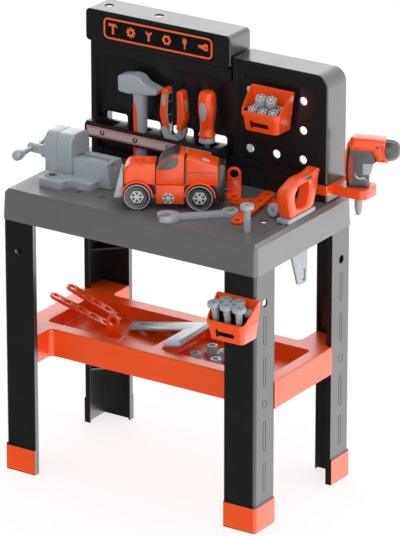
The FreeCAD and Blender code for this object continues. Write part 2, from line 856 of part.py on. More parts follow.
def drill():
    grip = new_body("Grip")
    outline = rectangle(
        (-d.grip_half_length, d.grip_half_length),
        (-d.grip_half_width, d.grip_half_width),
        d.grip_half_width - 1,
    )
    pad(grip, "XY", [outline], d.drill_seat + 0.4, d.grip_top)
    slot_length = (d.grip_half_length - 9, d.grip_half_length + 1)
    slot = block(slot_length, (-5.4, 5.4), (d.trigger_low - 0.4, d.grip_top + 1))
    motor = turned("Motor", polygon([
        (0, d.motor_back),
        (12, d.motor_back, 6),
        (d.motor_radius, d.motor_back + 12, 8),
        (d.motor_radius, d.motor_front),
        (0, d.motor_front),
    ]))
    place(motor, (0, 0, d.motor_height), (0, 1, 0), 90)
    spindle_bore = rod(3.05, 14, (d.motor_front - 12, 0, d.motor_height), (1, 0, 0))
    shell = cut(motor, spindle_bore)
    lower = cut(grip, slot, rod(d.motor_radius, 90, (-40, 0, d.motor_height), (1, 0, 0)))
    node("drill_shell", drill_local(group(shell)))
    node("drill_grip", drill_local(group(lower)))
    trigger = new_body("Trigger")
    lever = polygon([
        (d.grip_half_length - 4, d.trigger_low),
        (d.trigger_front - 3, d.trigger_low, 3),
        (d.trigger_front, d.trigger_high, 2),
        (d.grip_half_length - 4, d.trigger_high),
    ])
    pad(trigger, "XZ", [lever], -5, 5)
    node("drill_trigger", drill_local(trigger))
    nose = turned("Nose", polygon([
        (0, d.motor_front - 11),
        (3, d.motor_front - 11),
        (3, d.motor_front + 0.4),
        (d.nose_radius, d.motor_front + 0.4, 1),
        (d.nose_radius, d.motor_front + 5),
        (12, d.nose_end - 5, 3),
        (9, d.nose_end, 2),
        (0, d.nose_end),
    ]))
    node("drill_nose", drill_local(group(place(nose, (0, 0, d.motor_height), (0, 1, 0), 90))))


# ---------------------------------------------------------------- vise

d.add(
    vise_y=-35, flange_height=14, ear_left=-204, ear_right=-160, ear_half_depth=65,
    ledge_end=-112, ledge_half_depth=45, flange_rounding=9,
    fixed_left=-214, fixed_right=-192, jaw_half_depth=27, jaw_top=569, jaw_shoulder=15,
    moving_right=-163, jaw_gap=0.5, trough_end=-98, trough_foot=-90, trough_half_depth=21, trough_top=532,
    slot_start=-189, slot_end=-106, slot_half_depth=8, slot_floor=514,
    screw_height=525, thread_radius=6, core_radius=4.8, thread_pitch=6, running_gap=0.05,
    collar_radius=12.6, collar_end=-234, hub_radius=8.5, hub_end=-264, bar_x=-256, bar_radius=4.5,
    bar_front=-80, bar_back=10, knob_radius=9.5,
    vise_bolt_x=-190, vise_bolt_front=-77, vise_bolt_back=7, vise_bolt_radius=5, vise_bolt_head=8.5,
)


def jaw_profile(low):
    """A jaw seen along X, with rounded shoulders."""
    return polygon([
        (d.vise_y - d.jaw_half_depth, low),
        (d.vise_y + d.jaw_half_depth, low),
        (d.vise_y + d.jaw_half_depth, d.jaw_top, d.jaw_shoulder),
        (d.vise_y - d.jaw_half_depth, d.jaw_top, d.jaw_shoulder),
    ])


def vise_base():
    body = new_body("ViseBase")
    base = d.top_height
    deck = base + d.flange_height
    y = d.vise_y
    flange = polygon([
        (d.ear_left, y - d.ear_half_depth, d.flange_rounding),
        (d.ear_right, y - d.ear_half_depth, d.flange_rounding),
        (d.ear_right + 6, y - d.ledge_half_depth, 6),
        (d.ledge_end, y - d.ledge_half_depth, d.flange_rounding),
        (d.ledge_end, y + d.ledge_half_depth, d.flange_rounding),
        (d.ear_right + 6, y + d.ledge_half_depth, 6),
        (d.ear_right, y + d.ear_half_depth, d.flange_rounding),
        (d.ear_left, y + d.ear_half_depth, d.flange_rounding),
    ])
    pad(body, "XY", [flange], base, deck)
    round_edges(body, 1.5, lambda p, way: near(p.z, deck))
    pad(body, "YZ", [jaw_profile(deck - 1)], d.fixed_left, d.fixed_right)
    trough = polygon([
        (d.fixed_right - 2, base + 1),
        (d.trough_foot, base + 1),
        (d.trough_end, d.trough_top),
        (d.fixed_right - 2, d.trough_top),
    ])
    pad(body, "XZ", [trough], y - d.trough_half_depth, y + d.trough_half_depth)
    channel = rectangle((d.slot_start, d.slot_end), (y - d.slot_half_depth, y + d.slot_half_depth))
    pocket(body, "XY", [channel], d.slot_floor, d.jaw_top)
    bore = circle(y, d.screw_height, d.thread_radius + d.running_gap)
    pocket(body, "YZ", [bore], d.fixed_left - 1, d.slot_start + 1)
    tail_bore = circle(y, d.screw_height, d.core_radius - 0.8 + d.running_gap)
    pocket(body, "YZ", [tail_bore], d.slot_end - 1, d.trough_foot + 1)
    bolts = [circle(d.vise_bolt_x, bolt_y, d.vise_bolt_radius + 0.2)
             for bolt_y in (d.vise_bolt_front, d.vise_bolt_back)]
    pocket(body, "XY", bolts, base - 1, deck + 1)
    heads = [circle(d.vise_bolt_x, bolt_y, d.vise_bolt_head + 0.3)
             for bolt_y in (d.vise_bolt_front, d.vise_bolt_back)]
    pocket(body, "XY", heads, deck - 4, deck + 1)
    return node("vise_base", body)


def vise_moving_jaw():
    body = new_body("MovingJaw")
    start = d.fixed_right + d.jaw_gap
    foot = d.top_height + d.flange_height + 0.4
    pad(body, "YZ", [jaw_profile(foot)], start, d.moving_right)
    gap = 0.3
    saddle = rectangle(
        (d.vise_y - d.trough_half_depth - gap, d.vise_y + d.trough_half_depth + gap),
        (foot - 1, d.trough_top + gap),
    )
    pocket(body, "YZ", [saddle], start - 1, d.moving_right + 1)
    side = d.slot_half_depth - gap
    tongue = rectangle((d.vise_y - side, d.vise_y + side), (d.slot_floor + gap, d.trough_top + 2))
    pad(body, "YZ", [tongue], d.slot_start + gap, d.moving_right - 5)
    round_edges(body, 3, lambda p, way: near(p.x, d.moving_right) and p.z > foot.value + 1
                and (p.z > d.jaw_top.value - 1 or abs(p.y - d.vise_y.value) > 23))
    nut = circle(d.vise_y, d.screw_height, d.thread_radius + d.running_gap)
    pocket(body, "YZ", [nut], start - 1, d.moving_right + 1)
    return node("vise_moving_jaw", body)


def vise_spindle():
    """The screw, turned about Z and laid along X, its collar on the left outside the fixed jaw."""
    journal_start = d.fixed_left
    profile = [(0, d.hub_end), (d.hub_radius, d.hub_end, 2), (d.hub_radius, d.collar_end - 3)]
    profile += [(d.collar_radius, d.collar_end, 2), (d.collar_radius, journal_start - d.jaw_gap)]
    profile += [(d.thread_radius, journal_start - d.jaw_gap), (d.thread_radius, d.slot_start + 2)]
    turns = 13
    for turn in range(turns):
        start = d.slot_start + 2 + d.thread_pitch * turn
        profile.append((d.core_radius, start + 1.5))
        profile.append((d.core_radius, start + 3.5))
        profile.append((d.thread_radius, start + 5))
        if turn < turns - 1:
            profile.append((d.thread_radius, start + 6))
    shaft_end = d.slot_start + 2 + d.thread_pitch * (turns - 1) + 5
    tail_radius = d.core_radius - 0.8
    tail_end = d.trough_end - 1
    profile += [(tail_radius, shaft_end), (tail_radius, tail_end), (0, tail_end)]
    screw = turned("Spindle", polygon(profile))
    place(screw, (0, d.vise_y, d.screw_height), (0, 1, 0), 90)
    length = d.bar_back - d.bar_front
    hole = rod(d.bar_radius + 0.1, length, (d.bar_x, d.bar_front, d.screw_height), (0, 1, 0))
    node("vise_spindle", cut(screw, hole))
    bar = rod(d.bar_radius, length, (d.bar_x, d.bar_front, d.screw_height), (0, 1, 0))
    knobs = [ball(d.knob_radius, (d.bar_x, y, d.screw_height)) for y in (d.bar_front, d.bar_back)]
    node("vise_tommy_bar", fuse(bar, *knobs))


def vise_bolts():
    bolts = []
    deck = d.top_height + d.flange_height
    for y in (d.vise_bolt_front, d.vise_bolt_back):
        head = rod(d.vise_bolt_head, 3.6, (d.vise_bolt_x, y, deck - 4))
        shank = rod(d.vise_bolt_radius, d.flange_height - 4, (d.vise_bolt_x, y, d.top_height))
        bolts.append(fuse(head, shank))
    return bolts


# ---------------------------------------------------------------- hammer, pliers and screwdriver

d.add(
    tool_y=64.5,
    hammer_low=493, hammer_high=648, hammer_half_width=12, hammer_half_depth=10,
    head_left=-38, head_right=40, head_low=617, head_half_depth=13,
    pliers_pivot=546, pliers_low=498, pliers_high=637, pliers_half_depth=9, pliers_core=6.5, pliers_disc=12,
    pliers_gap=0.3, pliers_pin_radius=3.5, pliers_shift=1.5, grip_low=560,
    driver_low=497, driver_shaft=4, driver_collar=14.5, driver_base=558, driver_handle=14.7,
    driver_high=645,
)


def hammer():
    x = slot_places()[1]
    handle = new_body("HammerHandle")
    outline = rectangle(
        (-d.hammer_half_width, d.hammer_half_width), (-d.hammer_half_depth, d.hammer_half_depth), 9)
    pad(handle, "XY", [outline], d.hammer_low, d.head_low)
    round_edges(handle, 4, lambda p, way: near(p.z, d.hammer_low))
    head = new_body("HammerHead")
    middle = (d.head_low + d.hammer_high) / 2
    side = polygon([
        (d.head_left, middle - 13, 2),
        (d.head_left + 13, middle - 13, 3),
        (d.head_left + 16, d.head_low),
        (16, d.head_low, 4),
        (d.head_right, middle - 5, 2),
        (d.head_right, middle + 4, 3),
        (22, d.hammer_high - 4, 12),
        (8, d.hammer_high, 4),
        (-12, d.hammer_high, 4),
        (d.head_left + 16, d.hammer_high - 4, 3),
        (d.head_left + 13, middle + 13, 3),
        (d.head_left, middle + 13, 2),
    ])
    pad(head, "XZ", [side], -d.head_half_depth, d.head_half_depth)
    node("hammer_handle", place(handle, (x, d.tool_y, 0)))
    node("hammer_head", place(head, (x, d.tool_y, 0)))


def pliers_half(side):
    """One half of the pliers: side -1 has the left handle, and side 1 the right, in the rear layer."""
    body = new_body("PliersHalf")
    pivot = d.pliers_pivot
    layer = (d.pliers_gap / 2, d.pliers_half_depth)
    if side < 0:
        layer = (-d.pliers_half_depth, -d.pliers_gap / 2)
    pad(body, "XZ", [circle(0, pivot, d.pliers_disc)], layer[0], layer[1])
    lever = polygon([
        (-3 * side, pivot - 4),
        (9 * side, pivot - 4),
        (20 * side, d.grip_low + 4),
        (20 * side, d.grip_low + 12),
        (10 * side, d.grip_low + 12),
        (6 * side, d.grip_low),
        (-3 * side, pivot + 9),
    ])
    pad(body, "XZ", [lever], layer[0], layer[1])
    core = polygon([
        (9 * side, d.grip_low + 2),
        (15 * side, d.grip_low + 2),
        (17.5 * side, d.grip_low + 30),
        (14 * side, d.pliers_high - 8, 2),
        (9 * side, d.pliers_high - 8, 2),
        (11.5 * side, d.grip_low + 30),
    ])
    pad(body, "XZ", [core], -d.pliers_core, d.pliers_core)
    jaw = polygon([
        (3 * side, pivot - 3),
        (-11 * side, pivot - 3),
        (-10 * side, pivot - 20, 6),
        (-6 * side, d.pliers_low, 1),
        (-3.4 * side, d.pliers_low, 0.5),
        (-1.3 * side, pivot - 13),
        (3 * side, pivot - 10),
    ])
    pad(body, "XZ", [jaw], layer[0], layer[1])
    hole = [circle(0, pivot, d.pliers_pin_radius + (d.running_gap if side > 0 else 0))]
    pocket(body, "XZ", hole, layer[0] - 1, layer[1] + 1)
    return place(body, (slot_places()[2] + d.pliers_shift, d.tool_y, 0))


def pliers_grip(side):
    """The moulded grip over one handle's core."""
    body = new_body("PliersGrip")
    sleeve = polygon([
        (7 * side, d.grip_low + 12.3, 2),
        (19 * side, d.grip_low + 12.3, 3),
        (25 * side, d.grip_low + 34, 12),
        (19 * side, d.pliers_high, 6),
        (7.5 * side, d.pliers_high, 4),
        (10 * side, d.grip_low + 34, 12),
    ])
    pad(body, "XZ", [sleeve], -d.pliers_half_depth, d.pliers_half_depth)
    return place(body, (slot_places()[2] + d.pliers_shift, d.tool_y, 0))


def pliers():
    x = slot_places()[2] + d.pliers_shift
    for side, name in ((-1, "left"), (1, "right")):
        half = pliers_half(side)
        node(f"pliers_{name}_half", half)
        node(f"pliers_{name}_grip", cut(pliers_grip(side), half))
    depth = d.pliers_half_depth + 0.6
    pin = rod(d.pliers_pin_radius, depth * 2, (x, d.tool_y - depth, d.pliers_pivot), (0, 1, 0))
    node("pliers_pin", pin)


def screwdriver():
    x = slot_places()[3]
    handle = turned("DriverHandle", polygon([
        (0, d.driver_base + 12),
        (12, d.driver_base + 12),
        (d.driver_handle - 2, d.driver_base + 20, 5),
        (d.driver_handle, d.driver_base + 45, 40),
        (d.driver_handle - 1, d.driver_high - 12, 10),
        (9, d.driver_high, 5),
        (0, d.driver_high),
    ]))
    shaft = turned("DriverShaft", polygon([
        (0, d.driver_low),
        (2, d.driver_low),
        (d.driver_shaft, d.driver_low + 8),
        (d.driver_shaft, d.driver_base),
        (d.driver_collar, d.driver_base, 2),
        (d.driver_collar, d.driver_base + 4, 2),
        (12, d.driver_base + 12),
        (0, d.driver_base + 12),
    ]))
    node("screwdriver_handle", place(handle, (x, d.tool_y, 0)))
    node("screwdriver_shaft", place(shaft, (x, d.tool_y, 0)))


# ---------------------------------------------------------------- saw

d.add(
    saw_half_thickness=12, saw_front=-38, saw_back=60, saw_low=498, saw_high=560,
    saw_gap_front=-4, saw_gap_back=30, saw_gap_low=506, saw_gap_high=546,
    blade_half_thickness=1.8, blade_tip=371, collar_low=490.4, tooth_pitch=8, tooth_depth=2.4,
)


def saw():
    handle = new_body("SawHandle")
    outer = polygon([
        (d.saw_front + 10, d.saw_low, 6),
        (40, d.saw_low, 14),
        (d.saw_back - 8, 530, 20),
        (d.saw_back, d.saw_high, 3),
        (35, 556, 20),
        (0, d.saw_high - 3, 14),
        (d.saw_front, 545, 12),
    ])
    pad(handle, "YZ", [outer], d.saw_slot_x - d.saw_half_thickness, d.saw_slot_x + d.saw_half_thickness)
    gap = polygon([
        (d.saw_gap_front - 6, d.saw_gap_low + 5, 6),
        (d.saw_gap_back - 8, d.saw_gap_low, 10),
        (d.saw_gap_back, 530, 10),
        (d.saw_gap_back - 2, d.saw_gap_high, 8),
        (d.saw_gap_front, d.saw_gap_high, 8),
        (d.saw_gap_front - 12, 532, 10),
    ])
    pocket(handle, "YZ", [gap], d.saw_slot_x - 20, d.saw_slot_x + 20)
    node("saw_handle", handle)
    blade = new_body("SawBlade")
    thick = d.blade_half_thickness
    top_front = (-34, d.saw_low)
    bottom_front = (9, d.blade_tip + 4)
    teeth = 14
    edge = []
    for tooth in range(teeth):
        share = tooth / teeth
        y = top_front[0] + (bottom_front[0] - top_front[0]) * share
        z = top_front[1] + (bottom_front[1] - top_front[1]) * share
        edge.append((y, z))
        edge.append((y + d.tooth_depth, z - d.tooth_pitch * 0.4))
    outline = [(41, d.saw_low)] + edge + [bottom_front, (14, d.blade_tip), (33, d.blade_tip), (36, 377)]
    pad(blade, "YZ", [polygon(outline)], d.saw_slot_x - thick, d.saw_slot_x + thick)
    slot = [stadium((28, 379), (28, 392), 4)]
    pocket(blade, "YZ", slot, d.saw_slot_x - 5, d.saw_slot_x + 5)
    collar = rectangle((-34, 46), (d.collar_low, d.saw_low), 2)
    collar_half = d.saw_half_thickness - 1
    pad(blade, "YZ", [collar], d.saw_slot_x - collar_half, d.saw_slot_x + collar_half)
    node("saw_blade", blade)


# ---------------------------------------------------------------- wrench, strips and bolts on the worktop

d.add(
    lying_gap=0.3, wrench_x=60, wrench_y=-116, wrench_span=101, wrench_turn=44.6, wrench_thickness=9.5,
    wrench_ring=13, wrench_ring_hole=8, wrench_head=18.5, wrench_jaw=8.5, wrench_handle=7,
    strip_half_width=10, strip_hole=4.6, strip_thick=4, strip_long_span=114, strip_short_span=99,
    bolt_head_radius=11, bolt_head_height=7.5, bolt_shaft_radius=5.5, bolt_length=52,
)


def wrench():
    body = new_body("Wrench")
    low = d.top_height + d.lying_gap
    high = low + d.wrench_thickness
    pad(body, "XY", [circle(d.wrench_span, 0, d.wrench_ring)], low, high)
    pad(body, "XY", [circle(0, 0, d.wrench_head)], low, high)
    bar = rectangle((10, d.wrench_span - 8), (-d.wrench_handle, d.wrench_handle))
    pad(body, "XY", [bar], low, high - 2)
    jaw = polygon([
        (-30, -d.wrench_jaw - 3),
        (0, -d.wrench_jaw),
        (7, 0),
        (0, d.wrench_jaw),
        (-30, d.wrench_jaw + 3),
    ])
    pocket(body, "XY", [jaw], low - 1, high + 1)
    hexagon = []
    for corner in range(6):
        angle = math.radians(60 * corner)
        hexagon.append((
            d.wrench_span + d.wrench_ring_hole * math.cos(angle), d.wrench_ring_hole * math.sin(angle)))
    pocket(body, "XY", [polygon(hexagon)], low - 1, high + 1)
    place(body, (d.wrench_x, d.wrench_y, 0), (0, 0, 1), d.wrench_turn.value)
    return node("wrench", body)


def strip(name, span, holes=5):
    """A flat strip with round ends, its first hole at the origin, lying along X."""
    body = new_body("Strip")
    pad(body, "XY", [stadium((0, 0), (span, 0), d.strip_half_width)], 0, d.strip_thick)
    pocket(body, "XY", [circle(span * (step / (holes - 1)), 0, d.strip_hole) for step in range(holes)],
           -1, d.strip_thick + 1)
    return node(name, body)


def bolt():
    """A toy bolt with its head's underside at the origin, shaft down."""
    return turned("Bolt", polygon([
        (0, -d.bolt_length),
        (d.bolt_shaft_radius, -d.bolt_length, 1),
        (d.bolt_shaft_radius, 0),
        (d.bolt_head_radius, 0, 1),
        (d.bolt_head_radius, d.bolt_head_height, 2),
        (2.6, d.bolt_head_height),
        (2.6, d.bolt_head_height - 4),
        (0, d.bolt_head_height - 4),
    ]))


def worktop_toys():
    floor = d.top_height + d.lying_gap
    place(strip("worktop_strip_under", d.strip_short_span), (110.5, 6.5, floor), (0, 0, 1), 34.3)
    place(strip("worktop_strip_over", d.strip_long_span), (159, -67, floor + 0.9), (0, 1, 0), -3.4,
          (0, 0, 1), 97.2)
    node("standing_bolt", place(bolt(), (d.bolt_hole_x, d.bolt_hole_y, d.top_height + 38)))
    lying = place(bolt(), (194, -10, floor + d.bolt_head_radius + 0.1), (1, 0, 0), 84, (0, 0, 1), -10)
    node("lying_bolt", lying)


# ---------------------------------------------------------------- bins

d.add(
    bin_half_width=39.5, bin_foot_half_width=31, bin_depth=51, bin_foot_depth=40, bin_height=64,
    bin_lip=33, bin_wall=2.2, bin_peg_radius=6.7, bin_gap=0.3, bin_corner=9,
)


def bin_shell():
    """A bin hung by a peg: back plane at y = 0, bottom at z = 0, middle at x = 0, front towards -Y."""
    body = new_body("Bin")

    def loft(kind, margin, low, high):
        feature = body.newObject(f"PartDesign::{kind}Loft", "Loft")
        sections = []
        for height in (low, high):
            share = as_size(height) / d.bin_height
            half = d.bin_foot_half_width + (d.bin_half_width - d.bin_foot_half_width) * share - margin
            depth = d.bin_foot_depth + (d.bin_depth - d.bin_foot_depth) * share - margin
            outline = polygon([
                (-half, -depth, d.bin_corner - margin),
                (half, -depth, d.bin_corner - margin),
                (half, -margin, 1),
                (-half, -margin, 1),
            ])
            sections.append(sketch(body, "XY", height, [outline]))
        feature.Profile = sections[0]
        feature.Sections = [sections[1]]
        feature.Ruled = True
        doc.recompute()
        return feature

    loft("Additive", as_size(0), as_size(0), d.bin_height)
    loft("Subtractive", d.bin_wall, d.bin_wall, d.bin_height)
    front = -d.bin_depth
    slope = polygon([
        (front - 5, d.bin_lip, 1),
        (front + 9, d.bin_lip, 10),
        (-5, d.bin_height + 1),
        (-5, d.bin_height + 20),
        (front - 5, d.bin_height + 20),
    ])
    pocket(body, "YZ", [slope], -d.bin_half_width - 5, d.bin_half_width + 5)
    return body


def hung_bin(name, x, back, z, peg_height, peg_length):
    shell = place(bin_shell(), (x, back, z))
    peg = rod(d.bin_peg_radius, peg_length, (x, back - 1, peg_height), (0, 1, 0))
    return node(name, fuse(shell, peg))


def hex_prism(radius, height, low=0):
    """A six-sided block about Z, from its across-corners radius."""
    body = new_body("Hexagon")
    corners = []
    for corner in range(6):
        angle = math.radians(60 * corner)
        corners.append((radius * math.cos(angle), radius * math.sin(angle)))
    pad(body, "XY", [polygon(corners)], low, low + as_size(height))
    return body


d.add(
    upper_bin_x=131.5, upper_bin_low=603, lower_bin_x=212.7, lower_bin_low=338,
    nut_radius=8.2, nut_height=8,
)
UPPER_NUTS = (
    (-19, -12.5, 15), (0, -12, 14), (19, -12.5, 15), (-19, -30, 15), (0, -30.5, 14), (19, -30, 15),
    (-10, -22, 33), (9, -21, 33),
)
LOWER_BOLTS = ((-24, -36), (-1, -36), (22, -36), (-16, -14.5), (7, -14.5))
LOWER_NUT = (25, -13, 44)


def bins():
    upper_back = d.right_front - d.bin_gap
    peg_end = d.inner_depth + d.wall_shell + 6
    hung_bin("upper_bin", d.upper_bin_x, upper_back, d.upper_bin_low,
             d.peg_grid_z + d.peg_pitch_z * 2, peg_end)
    nuts = []
    for index, (x, y, z) in enumerate(UPPER_NUTS):
        nut = hex_prism(d.nut_radius, d.nut_height, d.nut_height * -0.5)
        place(nut, (d.upper_bin_x + x, upper_back + y, d.upper_bin_low + z),
              (1, 0.3 * (index - 2), 0), 50 - 9 * index)
        nuts.append(nut)
    node("upper_bin_nuts", group(*nuts))
    lower_back = -d.top_depth / 2 + d.leg_inset - d.bin_gap
    hung_bin("lower_bin", d.lower_bin_x, lower_back, d.lower_bin_low,
             d.leg_hole_height, d.leg_wall + 7)
    bolts = []
    standing = d.lower_bin_low + d.bin_wall + d.bolt_length + 0.5
    for x, y in LOWER_BOLTS:
        lean = 8 if y < -30 else 0
        at = (d.lower_bin_x + x, lower_back + y, standing)
        bolts.append(place(bolt(), at, (1, x / 50, 0), lean))
    x, y, z = LOWER_NUT
    nut = hex_prism(d.nut_radius, d.nut_height, d.nut_height * -0.5)
    bolts.append(place(nut, (d.lower_bin_x + x, lower_back + y, d.lower_bin_low + z), (1, 0, 0), 20))
    node("lower_bin_bolts", group(*bolts))


# ---------------------------------------------------------------- toys on the lower shelf

d.add(
    bracket_x=-95, bracket_y=-46, bracket_half_width=11.5, bracket_height=48, bracket_thick=4,
    bracket_foot=26, bracket_hole=7, bench_bracket_x=86, bench_bracket_y=37,
    square_thick=3, square_long=158, square_short=114, square_width=38, square_fence=9,
    flange_radius=13, flange_thick=3, nut_high=15, nut_bore=5.2,
)
SHELF_NUTS = ((67, 2), (62, -39), (103, -43), (97, -6))


def shelf_strips():
    floor = d.recess_floor + d.lying_gap
    place(strip("shelf_strip_front", as_size(92)), (-147, 5, floor + 4.2), (0, 1, 0), -22.5, (0, 0, 1), 194)
    place(strip("shelf_strip_rear", as_size(92)), (-144, 41, floor + 4.2), (0, 1, 0), -22.5, (0, 0, 1), 187)


def ring_bracket(name, at, turn):
    """A bent strip: a flat foot and an upright end with a hole, turned about its upright."""
    body = new_body("Bracket")
    wide = d.bracket_half_width
    upright = polygon([
        (-wide, 0),
        (wide, 0),
        (wide, d.bracket_height, d.bracket_half_width - 0.5),
        (-wide, d.bracket_height, d.bracket_half_width - 0.5),
    ])
    pad(body, "XZ", [upright], 0, d.bracket_thick)
    pad(body, "XY", [rectangle((-wide, wide), (0, d.bracket_foot), 3)], 0, d.bracket_thick)
    pocket(body, "XZ", [circle(0, d.bracket_height - wide, d.bracket_hole)], -1, d.bracket_thick + 1)
    pocket(body, "XY", [circle(0, d.bracket_foot - 10, 4.6)], -1, d.bracket_thick + 1)
    return node(name, place(body, at, (0, 0, 1), turn))


def ring_brackets():
    shelf_place = (d.bracket_x, d.bracket_y, d.recess_floor + d.lying_gap)
    ring_bracket("shelf_bracket", shelf_place, 8)
    bench_place = (d.bench_bracket_x, d.bench_bracket_y, d.top_height + d.lying_gap)
    ring_bracket("worktop_bracket", bench_place, 211)


def set_square():
    """A carpenter's square: a slotted rule and a wide arm with a raised fence."""
    body = new_body("Square")
    long = d.square_long
    wide = d.square_width
    outline = polygon([
        (-long, 0, 3),
        (-6, 0, 3),
        (0, -6, 3),
        (0, -d.square_short, 3),
        (-wide + 8, -d.square_short, 6),
        (-wide, -d.square_short + 12, 6),
        (-wide, -wide, 2),
        (-long + 12, -wide, 3),
    ])
    pad(body, "XY", [outline], 0, d.square_thick)
    pocket(body, "XY", [stadium((-long + 22, -14), (-long + 34, -14), 3)], -1, d.square_thick + 1)
    pad(body, "XY", [rectangle((-3, 0), (-d.square_short + 6, -10))], 0, d.square_fence)
    place(body, (42, 49, d.shelf_top + 8.7), (0, 1, 0), -10.6, (0, 0, 1), 3)
    return node("set_square", body)


def shelf_nuts():
    nuts = []
    floor = d.recess_floor + d.lying_gap
    for x, y in SHELF_NUTS:
        flange = rod(d.flange_radius, d.flange_thick, (x, y, floor))
        hexagon = place(hex_prism(9.8, d.nut_high - d.flange_thick + 1), (x, y, floor + d.flange_thick - 1))
        bore = rod(d.nut_bore, d.nut_high + 2, (x, y, floor - 1))
        nuts.append(cut(fuse(flange, hexagon), bore))
    return node("shelf_nuts", group(*nuts))


# ---------------------------------------------------------------- truck

d.add(
    truck_x=25, truck_y=-58.6, truck_turn=29.3, wheel_radius=22, wheelbase_half=50, wheel_inner=16.2,
    wheel_outer=28, axle_radius=3, chassis_half_width=15, body_half_width=22.5, deck_height=42,
    hood_front=-71.5, hood_back=-21.3, hood_top=75, cab_front=-20, cab_back=25, cab_top=92,
    rear_front=28.3, rear_back=79, rear_top=88, rear_low_top=74, arch_radius=24,
    hitch_back=89, hitch_top=75, tow_height=29, tow_neck=3, tow_knob=5,
)


def truck_local(obj):
    """Move a piece drawn about the truck's middle, nose towards -X, to the truck's place on the worktop."""
    at = (d.truck_x, d.truck_y, d.top_height + d.lying_gap)
    return place(obj, at, (0, 0, 1), d.truck_turn.value)


def wheel_arches(body):
    centres = [circle(x, d.wheel_radius, d.arch_radius) for x in (-d.wheelbase_half, d.wheelbase_half)]
    pocket(body, "XZ", centres, -40, 40)


def truck_shells():
    width = d.body_half_width
    hood = new_body("Hood")
    outline = polygon([
        (d.hood_front, d.deck_height),
        (d.hood_back, d.deck_height),
        (d.hood_back, d.hood_top),
        (d.hood_front, d.hood_top, 14),
    ])
    pad(hood, "XZ", [outline], -width, width)
    round_edges(hood, 4, lambda p, way: p.z > 58 and near(abs(p.y), width, 0.3) and p.x < -22)
    pocket(hood, "XY", [circle(-46, 0, 9)], d.hood_top - 5, d.hood_top + 1)
    wheel_arches(hood)
    node("truck_hood", truck_local(hood))
    cab = new_body("Cab")
    outline = polygon([
        (d.cab_front, d.deck_height),
        (d.cab_back, d.deck_height),
        (d.cab_back, d.cab_top),
        (10, d.cab_top, 6),
        (-10, 80, 16),
        (d.cab_front, 66),
    ])
    pad(cab, "XZ", [outline], -width, width)
    node("truck_cab", truck_local(cab))
    windscreen = new_body("Windscreen")
    outline = polygon([
        (d.cab_front, 66.2),
        (-10, 80.2, 16),
        (10, d.cab_top + 0.1, 6),
        (17, d.cab_top + 0.1),
        (17, d.cab_top + 3),
        (9, d.cab_top + 3, 8),
        (-13, 82.5, 18),
        (d.cab_front - 0.6, 69),
    ])
    pad(windscreen, "XZ", [outline], -width + 1, width - 1)
    node("truck_windscreen", truck_local(windscreen))
    rear = new_body("RearBody")
    outline = polygon([
        (d.rear_front, d.deck_height),
        (d.rear_back, d.deck_height, 2),
        (d.rear_back, d.rear_low_top, 3),
        (d.rear_front + 14, d.rear_top - 2, 6),
        (d.rear_front, d.rear_top, 2),
    ])
    pad(rear, "XZ", [outline], -width, width)
    wheel_arches(rear)
    node("truck_rear_body", truck_local(rear))
    panels = []
    for side in (-1, 1):
        inner = (d.chassis_half_width + 0.3) * side
        outer = (d.body_half_width + 1.5) * side
        low, high = (outer, inner) if side < 0 else (inner, outer)
        panels.append(block((d.cab_front, d.cab_back), (low, high), (10, d.deck_height - 0.5)))
    node("truck_side_panels", truck_local(group(*panels)))


def truck_chassis():
    body = new_body("Chassis")
    side = polygon([
        (d.hood_front + 1, 16),
        (d.rear_back, 16),
        (d.rear_back, 12),
        (d.hitch_back, 12),
        (d.hitch_back, d.hitch_top, 3),
        (d.rear_back + 0.3, d.hitch_top, 3),
        (d.rear_back + 0.3, d.deck_height - 0.3),
        (d.rear_front - 0.4, d.deck_height - 0.3),
        (d.rear_front - 0.4, d.rear_top - 5),
        (d.cab_back + 0.4, d.rear_top - 5),
        (d.cab_back + 0.4, d.deck_height - 0.3),
        (d.hood_front + 1, d.deck_height - 0.3),
    ])
    pad(body, "XZ", [side], -d.chassis_half_width, d.chassis_half_width)
    axles = [circle(x, d.wheel_radius, d.axle_radius + d.running_gap)
             for x in (-d.wheelbase_half, d.wheelbase_half)]
    pocket(body, "XZ", axles, -40, 40)
    pad(body, "YZ", [circle(0, d.tow_height, d.tow_neck)], d.hitch_back - 2, d.hitch_back + 2.5)
    pad(body, "YZ", [circle(0, d.tow_height, d.tow_knob)], d.hitch_back + 2, d.hitch_back + 5)
    node("truck_chassis", truck_local(body))
    bumper = new_body("Bumper")
    outline = polygon([
        (d.hood_front - 1, 20),
        (d.hood_front - 1, 60, 2),
        (d.hood_front - 6, 61, 2),
        (-88, 18, 2),
        (-83, 17),
    ])
    pad(bumper, "XZ", [outline], -20, 20)
    neck = rectangle((d.hood_front - 1.5, d.hood_front + 0.9), (22, 38))
    pad(bumper, "XZ", [neck], -12, 12)
    node("truck_bumper", truck_local(bumper))


def truck_wheels(name, x):
    """An axle with its two wheels and their hub bolts."""
    start = -d.wheel_outer + 3
    pieces = [rod(d.axle_radius, -start * 2, (x, start, d.wheel_radius), (0, 1, 0))]
    hubs = []
    for side in (-1, 1):
        wheel = turned("Wheel", polygon([
            (0, d.wheel_inner),
            (d.wheel_radius, d.wheel_inner, 3),
            (d.wheel_radius, d.wheel_outer, 3),
            (15, d.wheel_outer),
            (15, d.wheel_outer - 2),
            (0, d.wheel_outer - 2),
        ]))
        pieces.append(place(wheel, (x, 0, d.wheel_radius), (1, 0, 0), -90 * side))
        hub = hex_prism(11.5, 1.9, d.wheel_outer - 2)
        hubs.append(place(hub, (x, 0, d.wheel_radius), (1, 0, 0), -90 * side))
    node(name, truck_local(group(fuse(*pieces), *hubs)))


# ---------------------------------------------------------------- build, check and write

